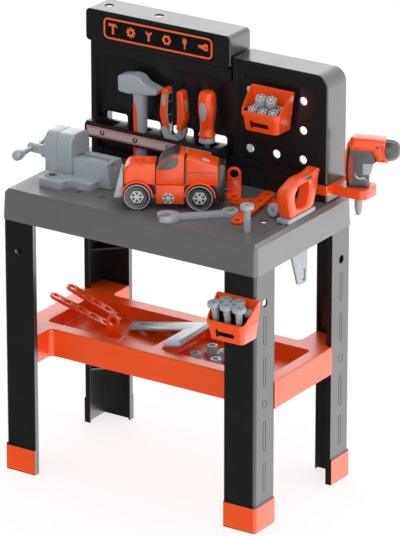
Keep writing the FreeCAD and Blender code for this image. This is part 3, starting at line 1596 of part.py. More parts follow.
def build():
    worktop()
    legs()
    lower_shelf()
    left_back_panel()
    right_peg_panel()
    header_box()
    header_sign()
    tool_rack()
    rack_label_strip()
    holder_with_socket()
    spare_bit()
    drill()
    vise_base()
    vise_moving_jaw()
    vise_spindle()
    node("assembly_screws", group(*wall_screws(), *vise_bolts()))
    hammer()
    pliers()
    screwdriver()
    saw()
    wrench()
    worktop_toys()
    bins()
    shelf_strips()
    ring_brackets()
    set_square()
    shelf_nuts()
    truck_shells()
    truck_chassis()
    truck_wheels("truck_front_wheels", -d.wheelbase_half)
    truck_wheels("truck_rear_wheels", d.wheelbase_half)
    doc.recompute()


def check():
    faults = []
    for obj in doc.Objects:
        if "Invalid" in obj.State or "Error" in obj.State:
            faults.append(f"{obj.Label}: {obj.State}")
    for obj in nodes:
        if obj.Shape.isNull() or not obj.Shape.isValid() or not obj.Shape.Solids:
            faults.append(f"{obj.Label}: no valid solid")
    return faults


build()
problems = check()
for problem in problems:
    print("FAULT", problem)
if problems:
    raise SystemExit(1)
os.makedirs("parts", exist_ok=True)
for item in nodes:
    item.Shape.exportStep(f"parts/{item.Label}.step")
    box = item.Shape.BoundBox
    volume = item.Shape.Volume / 1000
    spans = f"x {box.XMin:.1f} {box.XMax:.1f}  y {box.YMin:.1f} {box.YMax:.1f}  z {box.ZMin:.1f} {box.ZMax:.1f}"
    print(f"{item.Label:24s} {volume:9.2f} cm3  {len(item.Shape.Solids)} solids  {spans}")
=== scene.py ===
import json
import math

import bmesh
import bpy
from mathutils import Matrix, Vector
from mathutils.bvhtree import BVHTree


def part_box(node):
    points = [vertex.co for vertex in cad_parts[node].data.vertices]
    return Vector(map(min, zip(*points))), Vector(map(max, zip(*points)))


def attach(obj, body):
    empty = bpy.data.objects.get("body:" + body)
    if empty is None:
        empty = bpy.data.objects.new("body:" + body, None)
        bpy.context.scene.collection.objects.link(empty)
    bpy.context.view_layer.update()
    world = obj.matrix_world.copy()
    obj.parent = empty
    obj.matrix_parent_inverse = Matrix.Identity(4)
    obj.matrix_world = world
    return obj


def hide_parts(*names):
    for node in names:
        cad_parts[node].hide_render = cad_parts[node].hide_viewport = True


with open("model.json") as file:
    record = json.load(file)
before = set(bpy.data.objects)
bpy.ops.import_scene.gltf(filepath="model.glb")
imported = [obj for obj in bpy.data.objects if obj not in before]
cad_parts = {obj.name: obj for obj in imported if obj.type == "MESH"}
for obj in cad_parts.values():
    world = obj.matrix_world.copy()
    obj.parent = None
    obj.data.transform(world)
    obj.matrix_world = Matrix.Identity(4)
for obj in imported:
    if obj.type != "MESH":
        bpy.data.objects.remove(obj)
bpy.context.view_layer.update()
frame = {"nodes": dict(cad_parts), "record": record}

# The looks of a toy workbench. Shapes are drawn in millimetres and placed from the CAD frame.
MM = 0.001


# ---------------------------------------------------------------- materials

def shade(colour, factor):
    return tuple(min(1.0, channel * factor) for channel in colour) + (1.0,)


def plastic(name, colour, roughness, grain=0.06, grain_size=0.7, mottle=0.05):
    """Moulded plastic: a faint cloudy tint, uneven gloss and a fine skin grain."""
    material = bpy.data.materials.new(name)
    material.use_nodes = True
    nodes = material.node_tree.nodes
    links = material.node_tree.links
    shader = nodes["Principled BSDF"]
    shader.inputs["IOR"].default_value = 1.5
    where = nodes.new("ShaderNodeTexCoord")
    cloud = nodes.new("ShaderNodeTexNoise")
    cloud.inputs["Scale"].default_value = 14
    cloud.inputs["Detail"].default_value = 3
    links.new(where.outputs["Object"], cloud.inputs["Vector"])
    tint = nodes.new("ShaderNodeMix")
    tint.data_type = "RGBA"
    tint.inputs["A"].default_value = shade(colour, 1 - mottle)
    tint.inputs["B"].default_value = shade(colour, 1 + mottle)
    links.new(cloud.outputs["Fac"], tint.inputs["Factor"])
    links.new(tint.outputs["Result"], shader.inputs["Base Color"])
    gloss = nodes.new("ShaderNodeMapRange")
    gloss.inputs["From Min"].default_value = 0.3
    gloss.inputs["From Max"].default_value = 0.7
    gloss.inputs["To Min"].default_value = roughness - 0.035
    gloss.inputs["To Max"].default_value = roughness + 0.035
    links.new(cloud.outputs["Fac"], gloss.inputs["Value"])
    links.new(gloss.outputs["Result"], shader.inputs["Roughness"])
    skin = nodes.new("ShaderNodeTexNoise")
    skin.inputs["Scale"].default_value = 1 / (grain_size * MM)
    skin.inputs["Detail"].default_value = 2
    links.new(where.outputs["Object"], skin.inputs["Vector"])
    bump = nodes.new("ShaderNodeBump")
    bump.inputs["Strength"].default_value = grain
    bump.inputs["Distance"].default_value = 0.3 * MM
    links.new(skin.outputs["Fac"], bump.inputs["Height"])
    links.new(bump.outputs["Normal"], shader.inputs["Normal"])
    return material


ORANGE = plastic("orange_plastic", (0.97, 0.083, 0.0), 0.34)
LIGHT_GREY = plastic("light_grey_plastic", (0.38, 0.425, 0.46), 0.34)
GREY_TOP = plastic("grey_top_plastic", (0.135, 0.135, 0.137), 0.36, grain=0.12)
BLACK = plastic("black_panel_plastic", (0.011, 0.011, 0.0115), 0.27, grain=0.05)
BLACK_LEG = plastic("black_leg_plastic", (0.009, 0.009, 0.0095), 0.34, grain=0.1)
DARK = plastic("dark_plastic", (0.018, 0.016, 0.016), 0.3)
TYRE = plastic("wheel_plastic", (0.009, 0.009, 0.009), 0.3)
SILVER = plastic("silver_plastic", (0.6, 0.61, 0.62), 0.32)
INK_BLACK = plastic("printed_black", (0.003, 0.003, 0.003), 0.3, grain=0.02)
INK_ORANGE = plastic("printed_orange", (0.9, 0.135, 0.03), 0.45, grain=0.02)
# Grey for the printed labels, and also for the pale ring on the tyres, which is a painted highlight.
PRINT_AND_HIGHLIGHT_GREY = plastic("grey_print_and_painted_highlight", (0.58, 0.58, 0.585), 0.4, grain=0.02)
SCREEN = plastic("tinted_screen", (0.012, 0.010, 0.009), 0.16, grain=0.0)
RIBBED_RED = plastic("red_grip", (0.30, 0.022, 0.006), 0.45)
STEEL = plastic("zinc_steel", (0.55, 0.55, 0.54), 0.35)
STEEL.node_tree.nodes["Principled BSDF"].inputs["Metallic"].default_value = 1.0

BY_SLOT = {
    "grey_top": GREY_TOP, "black_leg": BLACK_LEG, "black_panel": BLACK, "sign_print": INK_BLACK,
    "label_print": PRINT_AND_HIGHLIGHT_GREY, "steel": STEEL, "orange": ORANGE, "light_grey": LIGHT_GREY,
    "dark_plastic": DARK, "wheel_black": TYRE,
}


def dress_cad_nodes():
    for part in frame["record"]["subparts"]:
        mesh = frame["nodes"][part["node"]].data
        mesh.materials.clear()
        mesh.materials.append(BY_SLOT[part["material_slot"]])


# ---------------------------------------------------------------- shapes, in millimetres

def rounded(corners, steps=6):
    """A closed outline from (x, y) or (x, y, radius) corners, each radius an arc."""
    points = []
    count = len(corners)
    for index, corner in enumerate(corners):
        here = Vector(corner[:2])
        radius = corner[2] if len(corner) > 2 else 0
        if not radius:
            points.append(tuple(here))
            continue
        before = (Vector(corners[index - 1][:2]) - here).normalized()
        after = (Vector(corners[(index + 1) % count][:2]) - here).normalized()
        half = before.angle(after) / 2
        centre = here + (before + after).normalized() * radius / math.sin(half)
        start = here + before * radius / math.tan(half) - centre
        end = here + after * radius / math.tan(half) - centre
        sweep = start.angle_signed(end)
        for step in range(steps + 1):
            turned = start.copy()
            turned.rotate(Matrix.Rotation(-sweep * step / steps, 2))
            points.append(tuple(centre + turned))
    return points


def ring(x, y, radius, steps=40, start=0.0):
    angles = [start + 2 * math.pi * step / steps for step in range(steps)]
    return [(x + radius * math.cos(angle), y + radius * math.sin(angle)) for angle in angles]


def box_outline(x_low, x_high, y_low, y_high, radius=0):
    return rounded([(x_low, y_low, radius), (x_high, y_low, radius),
                    (x_high, y_high, radius), (x_low, y_high, radius)])


def plate(loops, thickness, bevel=0.0):
    """A flat outline with holes, drawn in XY and thick along Z about 0, its edges rounded by bevel."""
    data = bpy.data.curves.new("plate", "CURVE")
    data.dimensions = "2D"
    data.fill_mode = "BOTH"
    data.extrude = thickness / 2 - bevel
    data.bevel_depth = bevel
    data.bevel_resolution = 3
    data.offset = -bevel
    for loop in loops:
        spline = data.splines.new("POLY")
        spline.points.add(len(loop) - 1)
        for point, (x, y) in zip(spline.points, loop):
            point.co = (x, y, 0, 1)
        spline.use_cyclic_u = True
    helper = bpy.data.objects.new("plate", data)
    bpy.context.scene.collection.objects.link(helper)
    bpy.context.view_layer.update()
    mesh = bpy.data.meshes.new_from_object(helper.evaluated_get(bpy.context.evaluated_depsgraph_get()))
    bpy.data.objects.remove(helper)
    work = bmesh.new()
    work.from_mesh(mesh)
    bmesh.ops.remove_doubles(work, verts=work.verts, dist=0.001)
    return made(work)


def made(work):
    """A mesh from a bmesh, its faces turned outwards."""
    bmesh.ops.recalc_face_normals(work, faces=work.faces)
    mesh = bpy.data.meshes.new("shape")
    work.to_mesh(mesh)
    work.free()
    return mesh


def loft(rings):
    """A closed skin through rings of points, capped at both ends."""
    work = bmesh.new()
    rows = [[work.verts.new(point) for point in points] for points in rings]
    count = len(rows[0])
    for low, high in zip(rows, rows[1:]):
        for step in range(count):
            after = (step + 1) % count
            work.faces.new((low[step], low[after], high[after], high[step]))
    work.faces.new(rows[0][::-1])
    work.faces.new(rows[-1])
    return made(work)


def lathe(profile, steps=48):
    """A turned solid about Z from (radius, height) points; its ends are flat."""
    rings = []
    for radius, height in profile:
        rings.append([(x, y, height) for x, y in ring(0, 0, max(radius, 0.01), steps)])
    return loft(rings)


def smooth_profile(points, steps=6):
    """A Catmull-Rom curve through (radius, height) points."""
    result = []
    padded = [points[0]] + list(points) + [points[-1]]
    for a, b, c, d in zip(padded, padded[1:], padded[2:], padded[3:]):
        for step in range(steps):
            t = step / steps
            result.append(tuple(
                0.5 * (2 * b[i] + (c[i] - a[i]) * t + (2 * a[i] - 5 * b[i] + 4 * c[i] - d[i]) * t * t
                       + (3 * b[i] - a[i] - 3 * c[i] + d[i]) * t ** 3) for i in range(len(b))))
    result.append(tuple(points[-1]))
    return result


def joined(*meshes):
    work = bmesh.new()
    for mesh in meshes:
        work.from_mesh(mesh)
    return made(work)


def moved(mesh, *matrices):
    for matrix in matrices:
        mesh.transform(matrix)
    return mesh


def at(x, y, z, turn=0.0, axis="Z"):
    return Matrix.Translation((x, y, z)) @ Matrix.Rotation(math.radians(turn), 4, axis)


# A drawing's X stays X and its Y becomes Z, thickness towards the front.
UPRIGHT = Matrix.Rotation(math.radians(90), 4, "X")
UP = (0, 0, 1)
# A drawing's X becomes Y and its Y becomes Z, thickness along X.
SIDEWAYS = Matrix(((0, 0, 1, 0), (1, 0, 0, 0), (0, 1, 0, 0), (0, 0, 0, 1)))


def softened(node, width, sharp=28, segments=2):
    """A copy of a CAD node's mesh with every sharp edge rounded."""
    work = bmesh.new()
    work.from_mesh(frame["nodes"][node].data)
    bmesh.ops.scale(work, vec=(1 / MM, 1 / MM, 1 / MM), verts=work.verts)
    bmesh.ops.remove_doubles(work, verts=work.verts, dist=0.005)
    bmesh.ops.dissolve_limit(work, angle_limit=math.radians(1), verts=work.verts, edges=work.edges)
    edges = []
    for edge in work.edges:
        if len(edge.link_faces) == 2 and edge.calc_face_angle(0) > math.radians(sharp):
            edges.append(edge)
    bmesh.ops.bevel(work, geom=edges, offset=width, segments=segments, profile=0.5, affect="EDGES",
                    clamp_overlap=True)
    return made(work)


def piece(name, mesh, body, material, replaces=(), sharp=40):
    """Put a shape, drawn in millimetres, into the scene on its body."""
    mesh.transform(Matrix.Scale(MM, 4))
    mesh.name = name
    mesh.materials.clear()
    mesh.materials.append(material)
    for polygon in mesh.polygons:
        polygon.use_smooth = True
    mesh.set_sharp_from_angle(angle=math.radians(sharp))
    obj = bpy.data.objects.new(name, mesh)
    bpy.context.scene.collection.objects.link(obj)
    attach(obj, body)
    if replaces:
        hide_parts(*replaces)
    return obj


def surface(*meshes):
    """The skin that inlays are laid on."""
    work = bmesh.new()
    for mesh in meshes:
        work.from_mesh(mesh)
    tree = BVHTree.FromBMesh(work)
    work.free()
    return tree


# Rays start this far outside the skin, and a patch's edge sinks this deep into it.
INLAY_REACH = 60
INLAY_SINK = 0.4


def inlay(skin, centre, across, along, half_across, half_along, proud=0.35, power=2.0, rings=7, steps=56):
    """A thin rounded patch laid on a skin, looking from outside along -(across x along)."""
    across = Vector(across).normalized()
    along = Vector(along).normalized()
    outward = across.cross(along)
    centre = Vector(centre)
    work = bmesh.new()
    rows = []
    for index in range(rings + 1):
        share = index / rings
        row = []
        for step in range(steps if index else 1):
            angle = 2 * math.pi * step / steps
            cos = math.cos(angle)
            sin = math.sin(angle)
            u = math.copysign(abs(cos) ** (2 / power), cos) * half_across * share
            v = math.copysign(abs(sin) ** (2 / power), sin) * half_along * share
            start = centre + across * u + along * v + outward * INLAY_REACH
            hit = skin.ray_cast(start, -outward)[0]
            if hit is None:
                hit = centre + across * u + along * v
            lift = proud if index < rings else -INLAY_SINK
            row.append(work.verts.new(hit + outward * lift))
        rows.append(row)
    for step in range(steps):
        work.faces.new((rows[0][0], rows[1][step], rows[1][(step + 1) % steps]))
    for inner, outer in zip(rows[1:], rows[2:]):
        for step in range(steps):
            after = (step + 1) % steps
            work.faces.new((inner[step], outer[step], outer[after], inner[after]))
    mesh = bpy.data.meshes.new("inlay")
    work.to_mesh(mesh)
    work.free()
    return mesh


STAR_SPOKE = 0.17
STAR_RIM = 0.8


def star_face(radius, thickness):
    """A six-sided ring with three bars across it, as on the toy's hex bolts."""
    outer = ring(0, 0, radius, 6)
    loops = [outer]
    inner = radius * STAR_RIM
    gap = radius * STAR_SPOKE
    for index in range(6):
        low = math.radians(60 * index)
        high = math.radians(60 * (index + 1))
        middle = (low + high) / 2
        hub = (gap * 1.25 * math.cos(middle), gap * 1.25 * math.sin(middle))
        shift = math.asin(gap / 2 / inner) * 1.25
        loops.append([
            (hub[0] + 0.2 * gap * math.cos(middle), hub[1] + 0.2 * gap * math.sin(middle)),
            (inner * math.cos(low + shift), inner * math.sin(low + shift)),
            (inner * math.cos(high - shift), inner * math.sin(high - shift)),
        ])
    return plate(loops, thickness, 0.18)


def star_bolt(name, near_node, radius, matrices):
    """A toy bolt's face: a bright star over a dark hollow."""
    hollow = moved(plate([ring(0, 0, radius * 0.9, 6)], 0.9, 0.1), *matrices)
    extra(name + "_hollow", hollow, near_node, DARK)
    extra(name, moved(star_face(radius, 1.6), *matrices), near_node, SILVER)


# ---------------------------------------------------------------- CAD nodes that keep their shape

BODY_OF = {}
for cad_body, cad_nodes in frame["record"]["behaviour"]["bodies"].items():
    for cad_node in cad_nodes:
        BODY_OF[cad_node] = cad_body
SLOT_OF = {part["node"]: part["material_slot"] for part in frame["record"]["subparts"]}


def box_mm(node):
    low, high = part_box(node)
    return Vector(low) / MM, Vector(high) / MM


def joint_mm(name):
    """Where a CAD joint stands."""
    for joint in frame["record"]["behaviour"]["joints"]:
        if joint["name"] == name:
            return Vector(joint["pos_m"]) / MM
    raise KeyError(name)


def stand_in(node, mesh, material=None, name=None, sharp=40):
    """A finished shape that stands for one CAD node, on the same body, in its slot's material unless
    another is given.
    """
    slot = SLOT_OF[node]
    return piece(name or node + "_skin", mesh, BODY_OF[node], material or BY_SLOT[slot],
                 [node], sharp)


def extra(name, mesh, near_node, material, sharp=40):
    """A detail that rides with a CAD node and hides nothing."""
    return piece(name, mesh, BODY_OF[near_node], material, (), sharp)


SOFT_EDGES = {
    "vise_base": 1.2, "vise_moving_jaw": 1.2, "vise_spindle": 0.5,
    "truck_hood": 1.8, "truck_cab": 1.5, "truck_rear_body": 1.5, "truck_side_panels": 1.0,
    "truck_chassis": 0.8, "truck_bumper": 1.2, "wrench": 1.2, "shelf_bracket": 0.8,
    "worktop_bracket": 0.8, "set_square": 0.5, "shelf_strip_front": 0.8, "shelf_strip_rear": 0.8,
    "worktop_strip_under": 0.8, "worktop_strip_over": 0.8, "drill_holder": 0.8, "saw_blade": 0.3,
    "standing_bolt": 0.5, "lying_bolt": 0.5, "shelf_nuts": 0.5, "upper_bin": 0.7, "lower_bin": 0.7,
    "lower_bin_bolts": 0.5, "pliers_left_half": 0.8, "pliers_right_half": 0.8,
}


def soften_cad_nodes():
    for node, width in SOFT_EDGES.items():
        stand_in(node, softened(node, width))


# ---------------------------------------------------------------- header and rack label

def frame_ring(low_x, high_x, low_z, high_z, stroke, radius, thickness=0.6):
    outer = box_outline(low_x, high_x, low_z, high_z, radius)
    inner = box_outline(low_x + stroke, high_x - stroke, low_z + stroke, high_z - stroke, radius - stroke)
    return plate([outer, inner], thickness, 0.15)


def pictogram_hammer():
    return [[(-9, 4), (-9, 9), (4, 9), (9, 5), (9, 3), (4, 5), (2, 4), (2, -9), (-2, -9), (-2, 4)]]


def pictogram_gear(teeth=8):
    outline = []
    for tooth in range(teeth):
        middle = 2 * math.pi * tooth / teeth
        for offset, radius in ((-0.3, 6.6), (-0.19, 9), (0.19, 9), (0.3, 6.6)):
            outline.append((radius * math.cos(middle + offset), radius * math.sin(middle + offset)))
    return [outline, ring(0, 0, 3)]


def pictogram_wrench():
    return [rounded([(-2, -9, 1.5), (2, -9, 1.5), (2.2, 1), (6, 5), (6, 9), (2.4, 6), (-2.4, 6), (-6, 9),
                     (-6, 5), (-2.2, 1)])]


def pictogram_nut():
    return [ring(0, 0, 9, 6), ring(0, 0, 4)]


def pictogram_screwdriver():
    return [rounded([(-1.4, -9), (1.4, -9), (1.4, -1), (3.6, 0, 0.8), (3.6, 9, 1.6), (-3.6, 9, 1.6),
                     (-3.6, 0, 0.8), (-1.4, -1)])]


def pictogram_saw(teeth=5):
    outline = [(-10, 3), (2, 5), (4, 8), (10, 6), (10, -4), (4, -5)]
    for tooth in range(teeth):
        x = 3 - 13 * tooth / teeth
        outline.append((x, -4.6 + tooth * 0.7))
        outline.append((x - 1.3, -2 + tooth * 0.8))
    return [outline, ring(6.6, 1, 1.6, 16)]


def header_print():
    low, high = box_mm("header_sign")
    face = low.y - 0.1
    edge = 1.5
    border = moved(frame_ring(low.x + edge, high.x - edge, low.z + edge, high.z - edge, 3.3, 9), UPRIGHT,
                   at(0, face, 0))
    extra("header_outline", border, "header_sign", INK_ORANGE)
    signs = (pictogram_hammer, pictogram_gear, pictogram_wrench, pictogram_nut, pictogram_screwdriver,
             pictogram_saw)
    pitch = (high.x - low.x - 40) / (len(signs) - 1)
    middle_z = (low.z + high.z) / 2
    for index, sign in enumerate(signs):
        mark = moved(plate(sign(), 0.6, 0.1), UPRIGHT, at(low.x + 20 + pitch * index, face, middle_z))
        extra("header_sign_mark_%d" % index, mark, "header_sign", INK_ORANGE)


def horseshoe(radius, gap=0.75):
    """The open end of a wrench, opening upwards."""
    points = []
    start = math.pi / 2 + gap / 2
    sweep = 2 * math.pi - gap
    for step in range(25):
        angle = start + sweep * step / 24
        points.append((radius * math.cos(angle), radius * math.sin(angle)))
    for step in range(25):
        angle = start + sweep * (24 - step) / 24
        points.append((radius * 0.5 * math.cos(angle), radius * 0.5 * math.sin(angle)))
    return [points]


HAMMER_X = -112.5
PLIERS_X = -46.5
SCREWDRIVER_X = 16.5
RACK_SLOTS = (-177, HAMMER_X, -48, SCREWDRIVER_X)


def rack_print():
    low, high = box_mm("rack_label_strip")
    face = low.y - 0.1
    edge = 0.6
    border = moved(frame_ring(low.x + edge, high.x - edge, low.z + edge, high.z - edge, 2, 3), UPRIGHT,
                   at(0, face, 0))
    extra("rack_border", border, "rack_label_strip", INK_ORANGE)
    middle_z = (low.z + high.z) / 2
    for index, x in enumerate(RACK_SLOTS):
        mark = moved(plate(horseshoe(4.5), 0.6, 0.1), UPRIGHT, at(x, face, middle_z))
        extra("rack_mark_%d" % index, mark, "rack_label_strip", INK_BLACK)


# ---------------------------------------------------------------- hand tools in the rack

def upright_ring(half_x, half_y, z, middle_x=0.0, middle_y=0.0, power=2.0, steps=40):
    """One level of a handle: an ellipse, squarer as power grows."""
    points = []
    for step in range(steps):
        angle = 2 * math.pi * step / steps
        cos = math.cos(angle)
        sin = math.sin(angle)
        points.append((middle_x + math.copysign(abs(cos) ** (2 / power), cos) * half_x,
                       middle_y + math.copysign(abs(sin) ** (2 / power), sin) * half_y, z))
    return points


TOOL_Y = 64.5


def hammer_pieces():
    place = at(HAMMER_X, TOOL_Y, 0)
    profile = smooth_profile([(4, 5, 493), (10, 8.4, 495), (11.4, 9.6, 502), (11.6, 10, 540),
                              (11.4, 9.8, 590), (12, 10.2, 612), (13.6, 11, 623)], 5)
    handle = loft([upright_ring(half_x, half_y, z, power=2.4) for half_x, half_y, z in profile])
    moved(handle, place)
    skin = surface(handle)
    stand_in("hammer_handle", handle)
    grip = inlay(skin, (HAMMER_X - 7, TOOL_Y - 7, 551), (0.8, -0.6, 0), UP, 8, 55, 0.6, 2.6)
    extra("hammer_grip", grip, "hammer_handle", ORANGE)
    tongue = inlay(skin, (HAMMER_X + 2, TOOL_Y, 506), (1, 0, 0), UP, 5.5, 16, 0.9, 2.6)
    extra("hammer_tongue", tongue, "hammer_handle", LIGHT_GREY)
    low, high = box_mm("hammer_head")
    outline = rounded([(-37, 14, 4), (-8, 19.5, 6), (3, 18, 6), (13, 8.6, 8), (24, 4.6, 8), (38, 1.4, 3.2),
                       (38, -7, 3.2), (18, -10.5, 6), (-18, -14, 6), (-36, -13, 4)])
    head = plate([outline], 26, 3)
    middle_z = (low.z + high.z) / 2 - 2.5
    moved(head, UPRIGHT, at(HAMMER_X, TOOL_Y, middle_z))
    stand_in("hammer_head", head)


PLIERS_INSET = 12
PLIERS_HOLLOW_Z = 602


def pliers_pieces():
    for side, name in ((-1, "left"), (1, "right")):
        outline = rounded([(7.5 * side, 570, 2), (18 * side, 570, 4), (24.4 * side, 592, 14),
                           (22.5 * side, 616, 14), (19.5 * side, 637, 5), (8.5 * side, 637, 4),
                           (10 * side, 594, 14)])
        grip = moved(plate([outline], 18, 3), UPRIGHT, at(PLIERS_X, TOOL_Y, 0))
        node = "pliers_%s_grip" % name
        skin = surface(grip)
        stand_in(node, grip)
        inset_x = PLIERS_X + PLIERS_INSET * side
        across = (0, -side, 0)
        middle = (inset_x, TOOL_Y, PLIERS_HOLLOW_Z)
        extra("pliers_%s_inner" % name, inlay(skin, middle, across, UP, 8, 32, 0.4, 4.0), node, LIGHT_GREY)
        extra("pliers_%s_hollow" % name, inlay(skin, middle, across, UP, 5.8, 29, 0.7, 4.0), node, DARK)
        for rib_name, height in (("high", 614), ("low", 592)):
            rib = inlay(skin, (inset_x, TOOL_Y, height), across, UP, 5.8, 0.9, 1.3, 4.0, 3, 24)
            extra("pliers_%s_rib_%s" % (name, rib_name), rib, node, LIGHT_GREY)
        if side < 0:
            capsule = inlay(skin, (PLIERS_X - 15.3, TOOL_Y, 617), (1, 0, 0), UP, 3.8, 10.5, 0.4)
        else:
            capsule = inlay(skin, (PLIERS_X + 20, TOOL_Y, 612), (0, 1, 0), UP, 3.8, 10.5, 0.4)
        extra("pliers_%s_capsule" % name, capsule, node, LIGHT_GREY)


def screwdriver_pieces():
    place = at(SCREWDRIVER_X, TOOL_Y, 0)
    profile = smooth_profile([(12, 567), (13.8, 569), (13.4, 573), (11, 581), (12.2, 593), (14.4, 610),
                              (14.7, 624), (13.6, 638), (10, 644), (4, 645)], 5)
    handle = moved(lathe(profile), place)
    skin = surface(handle)
    stand_in("screwdriver_handle", handle)
    extra("screwdriver_capsule", inlay(skin, (SCREWDRIVER_X, TOOL_Y, 613), (1, 0, 0), UP, 7, 17, 0.5),
          "screwdriver_handle", LIGHT_GREY)
    shaft = lathe([(1.6, 497), (2.4, 499), (4, 505), (4, 556.5), (11, 557.5), (13.6, 559), (13.9, 562),
                   (12.6, 566), (12, 569)])
    stand_in("screwdriver_shaft", moved(shaft, place), LIGHT_GREY)


# ---------------------------------------------------------------- saw

def saw_pieces():
    low, high = box_mm("saw_handle")
    middle = (low.x + high.x) / 2
    outer = rounded([(-28, 498, 6), (40, 498, 14), (52, 530, 20), (60, 560, 3), (35, 556, 20),
                     (0, 557, 14), (-38, 545, 12)])
    gap = rounded([(-10, 511, 6), (22, 506, 10), (30, 530, 10), (28, 546, 8), (-4, 546, 8), (-16, 532, 10)])
    handle = moved(plate([outer, gap], 24, 5), SIDEWAYS, at(middle, 0, 0))
    skin = surface(handle)
    stand_in("saw_handle", handle)
    for side in (-1, 1):
        outline = inlay(skin, (middle, 25, 552), (0, side, 0), UP, 11, 3.2, 0.4, 3.0)
        extra("saw_capsule_%s" % ("left" if side < 0 else "right"), outline, "saw_handle", DARK)


# ---------------------------------------------------------------- drill

DRILL_TURN = 27
NOSE_REACH = 50
NOSE = joint_mm("drill_nose_turn")
DRILL_PLACE = at(NOSE.x - NOSE_REACH * math.cos(math.radians(DRILL_TURN)),
                 NOSE.y - NOSE_REACH * math.sin(math.radians(DRILL_TURN)), 0, DRILL_TURN)


DRILL_SIDES = ((-1, "front"), (1, "back"))
CAPSULE_X = -13
CAPSULE_Z = 551
CAPSULE_RIBS = 9
CAPSULE_RIB_PITCH = 5


def drill_shell():
    head_outline = rounded([(-15, 583, 3), (-16, 596, 6), (-8.8, 603.4, 6), (17.7, 602.4), (42, 600.3, 3),
                            (48, 563.2, 2), (30, 563, 3), (20, 581, 4)])
    head = plate([head_outline], 34, 7)
    strip_outline = rounded([(-12, 600, 2), (-19.9, 587, 6), (-22.5, 574.6), (-23.4, 546, 8), (-20.7, 527),
                             (-19, 548), (-18.4, 574), (-15, 586, 4), (-9, 594, 2)])
    strip = plate([strip_outline], 18, 0.9)
    shell = moved(joined(moved(head, UPRIGHT), moved(strip, UPRIGHT)), DRILL_PLACE)
    stand_in("drill_shell", shell, ORANGE)


def drill_red_capsule(skin, side, side_name):
    """The ribbed red patch on one side of the grip."""
    across = (-side, 0, 0)
    capsule = inlay(skin, (CAPSULE_X, 0, CAPSULE_Z), across, UP, 4.4, 26, 0.5, 3.0)
    extra("drill_capsule_" + side_name, moved(capsule, DRILL_PLACE), "drill_grip", RIBBED_RED)
    ribs = []
    lowest = CAPSULE_Z - CAPSULE_RIB_PITCH * (CAPSULE_RIBS - 1) / 2
    for step in range(CAPSULE_RIBS):
        height = lowest + CAPSULE_RIB_PITCH * step
        ribs.append(inlay(skin, (CAPSULE_X, 0, height), across, UP, 3.8, 1.2, 1.3, 3.0, 3, 24))
    extra("drill_ribs_" + side_name, moved(joined(*ribs), DRILL_PLACE), "drill_grip", RIBBED_RED)


def drill_side_marks(side, side_name):
    """The pale streak, the dark line and the vent on one side of the drill."""
    swoosh = rounded([(-7, 545), (-2, 538, 4), (4, 535.6, 3), (7.5, 539, 2), (15, 531), (8, 535.4, 3),
                      (4, 533.4, 3), (-4, 536, 4)])
    mark = moved(plate([swoosh], 0.7, 0.15), UPRIGHT, at(0, 12 * side, 0), DRILL_PLACE)
    extra("drill_swoosh_" + side_name, mark, "drill_grip", SILVER)
    top_line = plate([rounded([(-15, 597), (-5, 594.5, 4), (22, 594.5, 3), (26, 597), (22, 596.3, 3),
                               (-5, 596.3, 4)])], 0.8, 0.1)
    extra("drill_line_" + side_name, moved(top_line, UPRIGHT, at(0, 15.6 * side, 0), DRILL_PLACE),
          "drill_shell", DARK)
    slot = moved(plate([box_outline(-3, 3, -1.6, 1.6, 1.5)], 0.7, 0.15), UPRIGHT,
                 at(30, 17 * side, 590), DRILL_PLACE)
    extra("drill_vent_" + side_name, slot, "drill_shell", DARK)


def drill_pieces():
    drill_shell()
    grip_outline = rounded([(-16, 507.6, 2), (16, 507.6, 2), (16.8, 522), (17.7, 539.8, 3), (20, 556.7, 6),
                            (30, 563, 4), (22, 584, 4), (-6, 592, 4), (-18, 588, 4), (-20.4, 566, 20),
                            (-21.4, 546, 20), (-19.4, 522)])
    grip = moved(plate([grip_outline], 24, 5), UPRIGHT)
    skin = surface(grip)
    for side, side_name in DRILL_SIDES:
        drill_red_capsule(skin, side, side_name)
        drill_side_marks(side, side_name)
    stand_in("drill_grip", moved(grip, DRILL_PLACE), DARK)
    lever_outline = rounded([(6, 541, 2), (19, 541, 3), (23.5, 558, 3), (21, 561, 2), (6, 561, 2)])
    lever = moved(plate([lever_outline], 24.6, 1.5), UPRIGHT, DRILL_PLACE)
    stand_in("drill_trigger", lever)
    nose_profile = [(15, 42.4), (18, 42.6), (18, 49), (17, 55), (14.2, 61), (10.2, 64.8), (8.6, 65.4)]
    nose = lathe(nose_profile, 12)
    moved(nose, Matrix.Rotation(math.radians(90), 4, "Y"), at(0, 0, NOSE.z), DRILL_PLACE)
    stand_in("drill_nose", nose, sharp=20)


# ---------------------------------------------------------------- truck

TRUCK_SIDE = 22.6
WHEEL_RADIUS = 22
WHEEL_FACE = 28.0
AXLE_REACH = 50
FRONT_AXLE = joint_mm("truck_front_axle_turn")
REAR_AXLE = joint_mm("truck_rear_axle_turn")
TRUCK_MIDDLE = (FRONT_AXLE + REAR_AXLE) / 2
TRUCK_TURN = math.degrees(math.atan2(REAR_AXLE.y - FRONT_AXLE.y, REAR_AXLE.x - FRONT_AXLE.x))
TRUCK_PLACE = at(TRUCK_MIDDLE.x, TRUCK_MIDDLE.y, TRUCK_MIDDLE.z - WHEEL_RADIUS, TRUCK_TURN)


def on_truck_side(mesh, side, t, n, h):
    """Place an upright drawing on the truck's side, n from its middle."""
    return moved(mesh, UPRIGHT, at(t, n * side, h), TRUCK_PLACE)


TRUCK_SIDES = ((-1, "left"), (1, "right"))
ARCH_INSIDE = 23
ARCH_OUTSIDE = 25.4


def arch_liner():
    """Half a ring round the top of a wheel."""
    arc = [math.pi * step / 20 for step in range(21)]
    liner = [(ARCH_OUTSIDE * math.cos(angle), ARCH_OUTSIDE * math.sin(angle)) for angle in arc]
    liner += [(ARCH_INSIDE * math.cos(angle), ARCH_INSIDE * math.sin(angle)) for angle in reversed(arc)]
    return plate([liner], 7, 0.5)


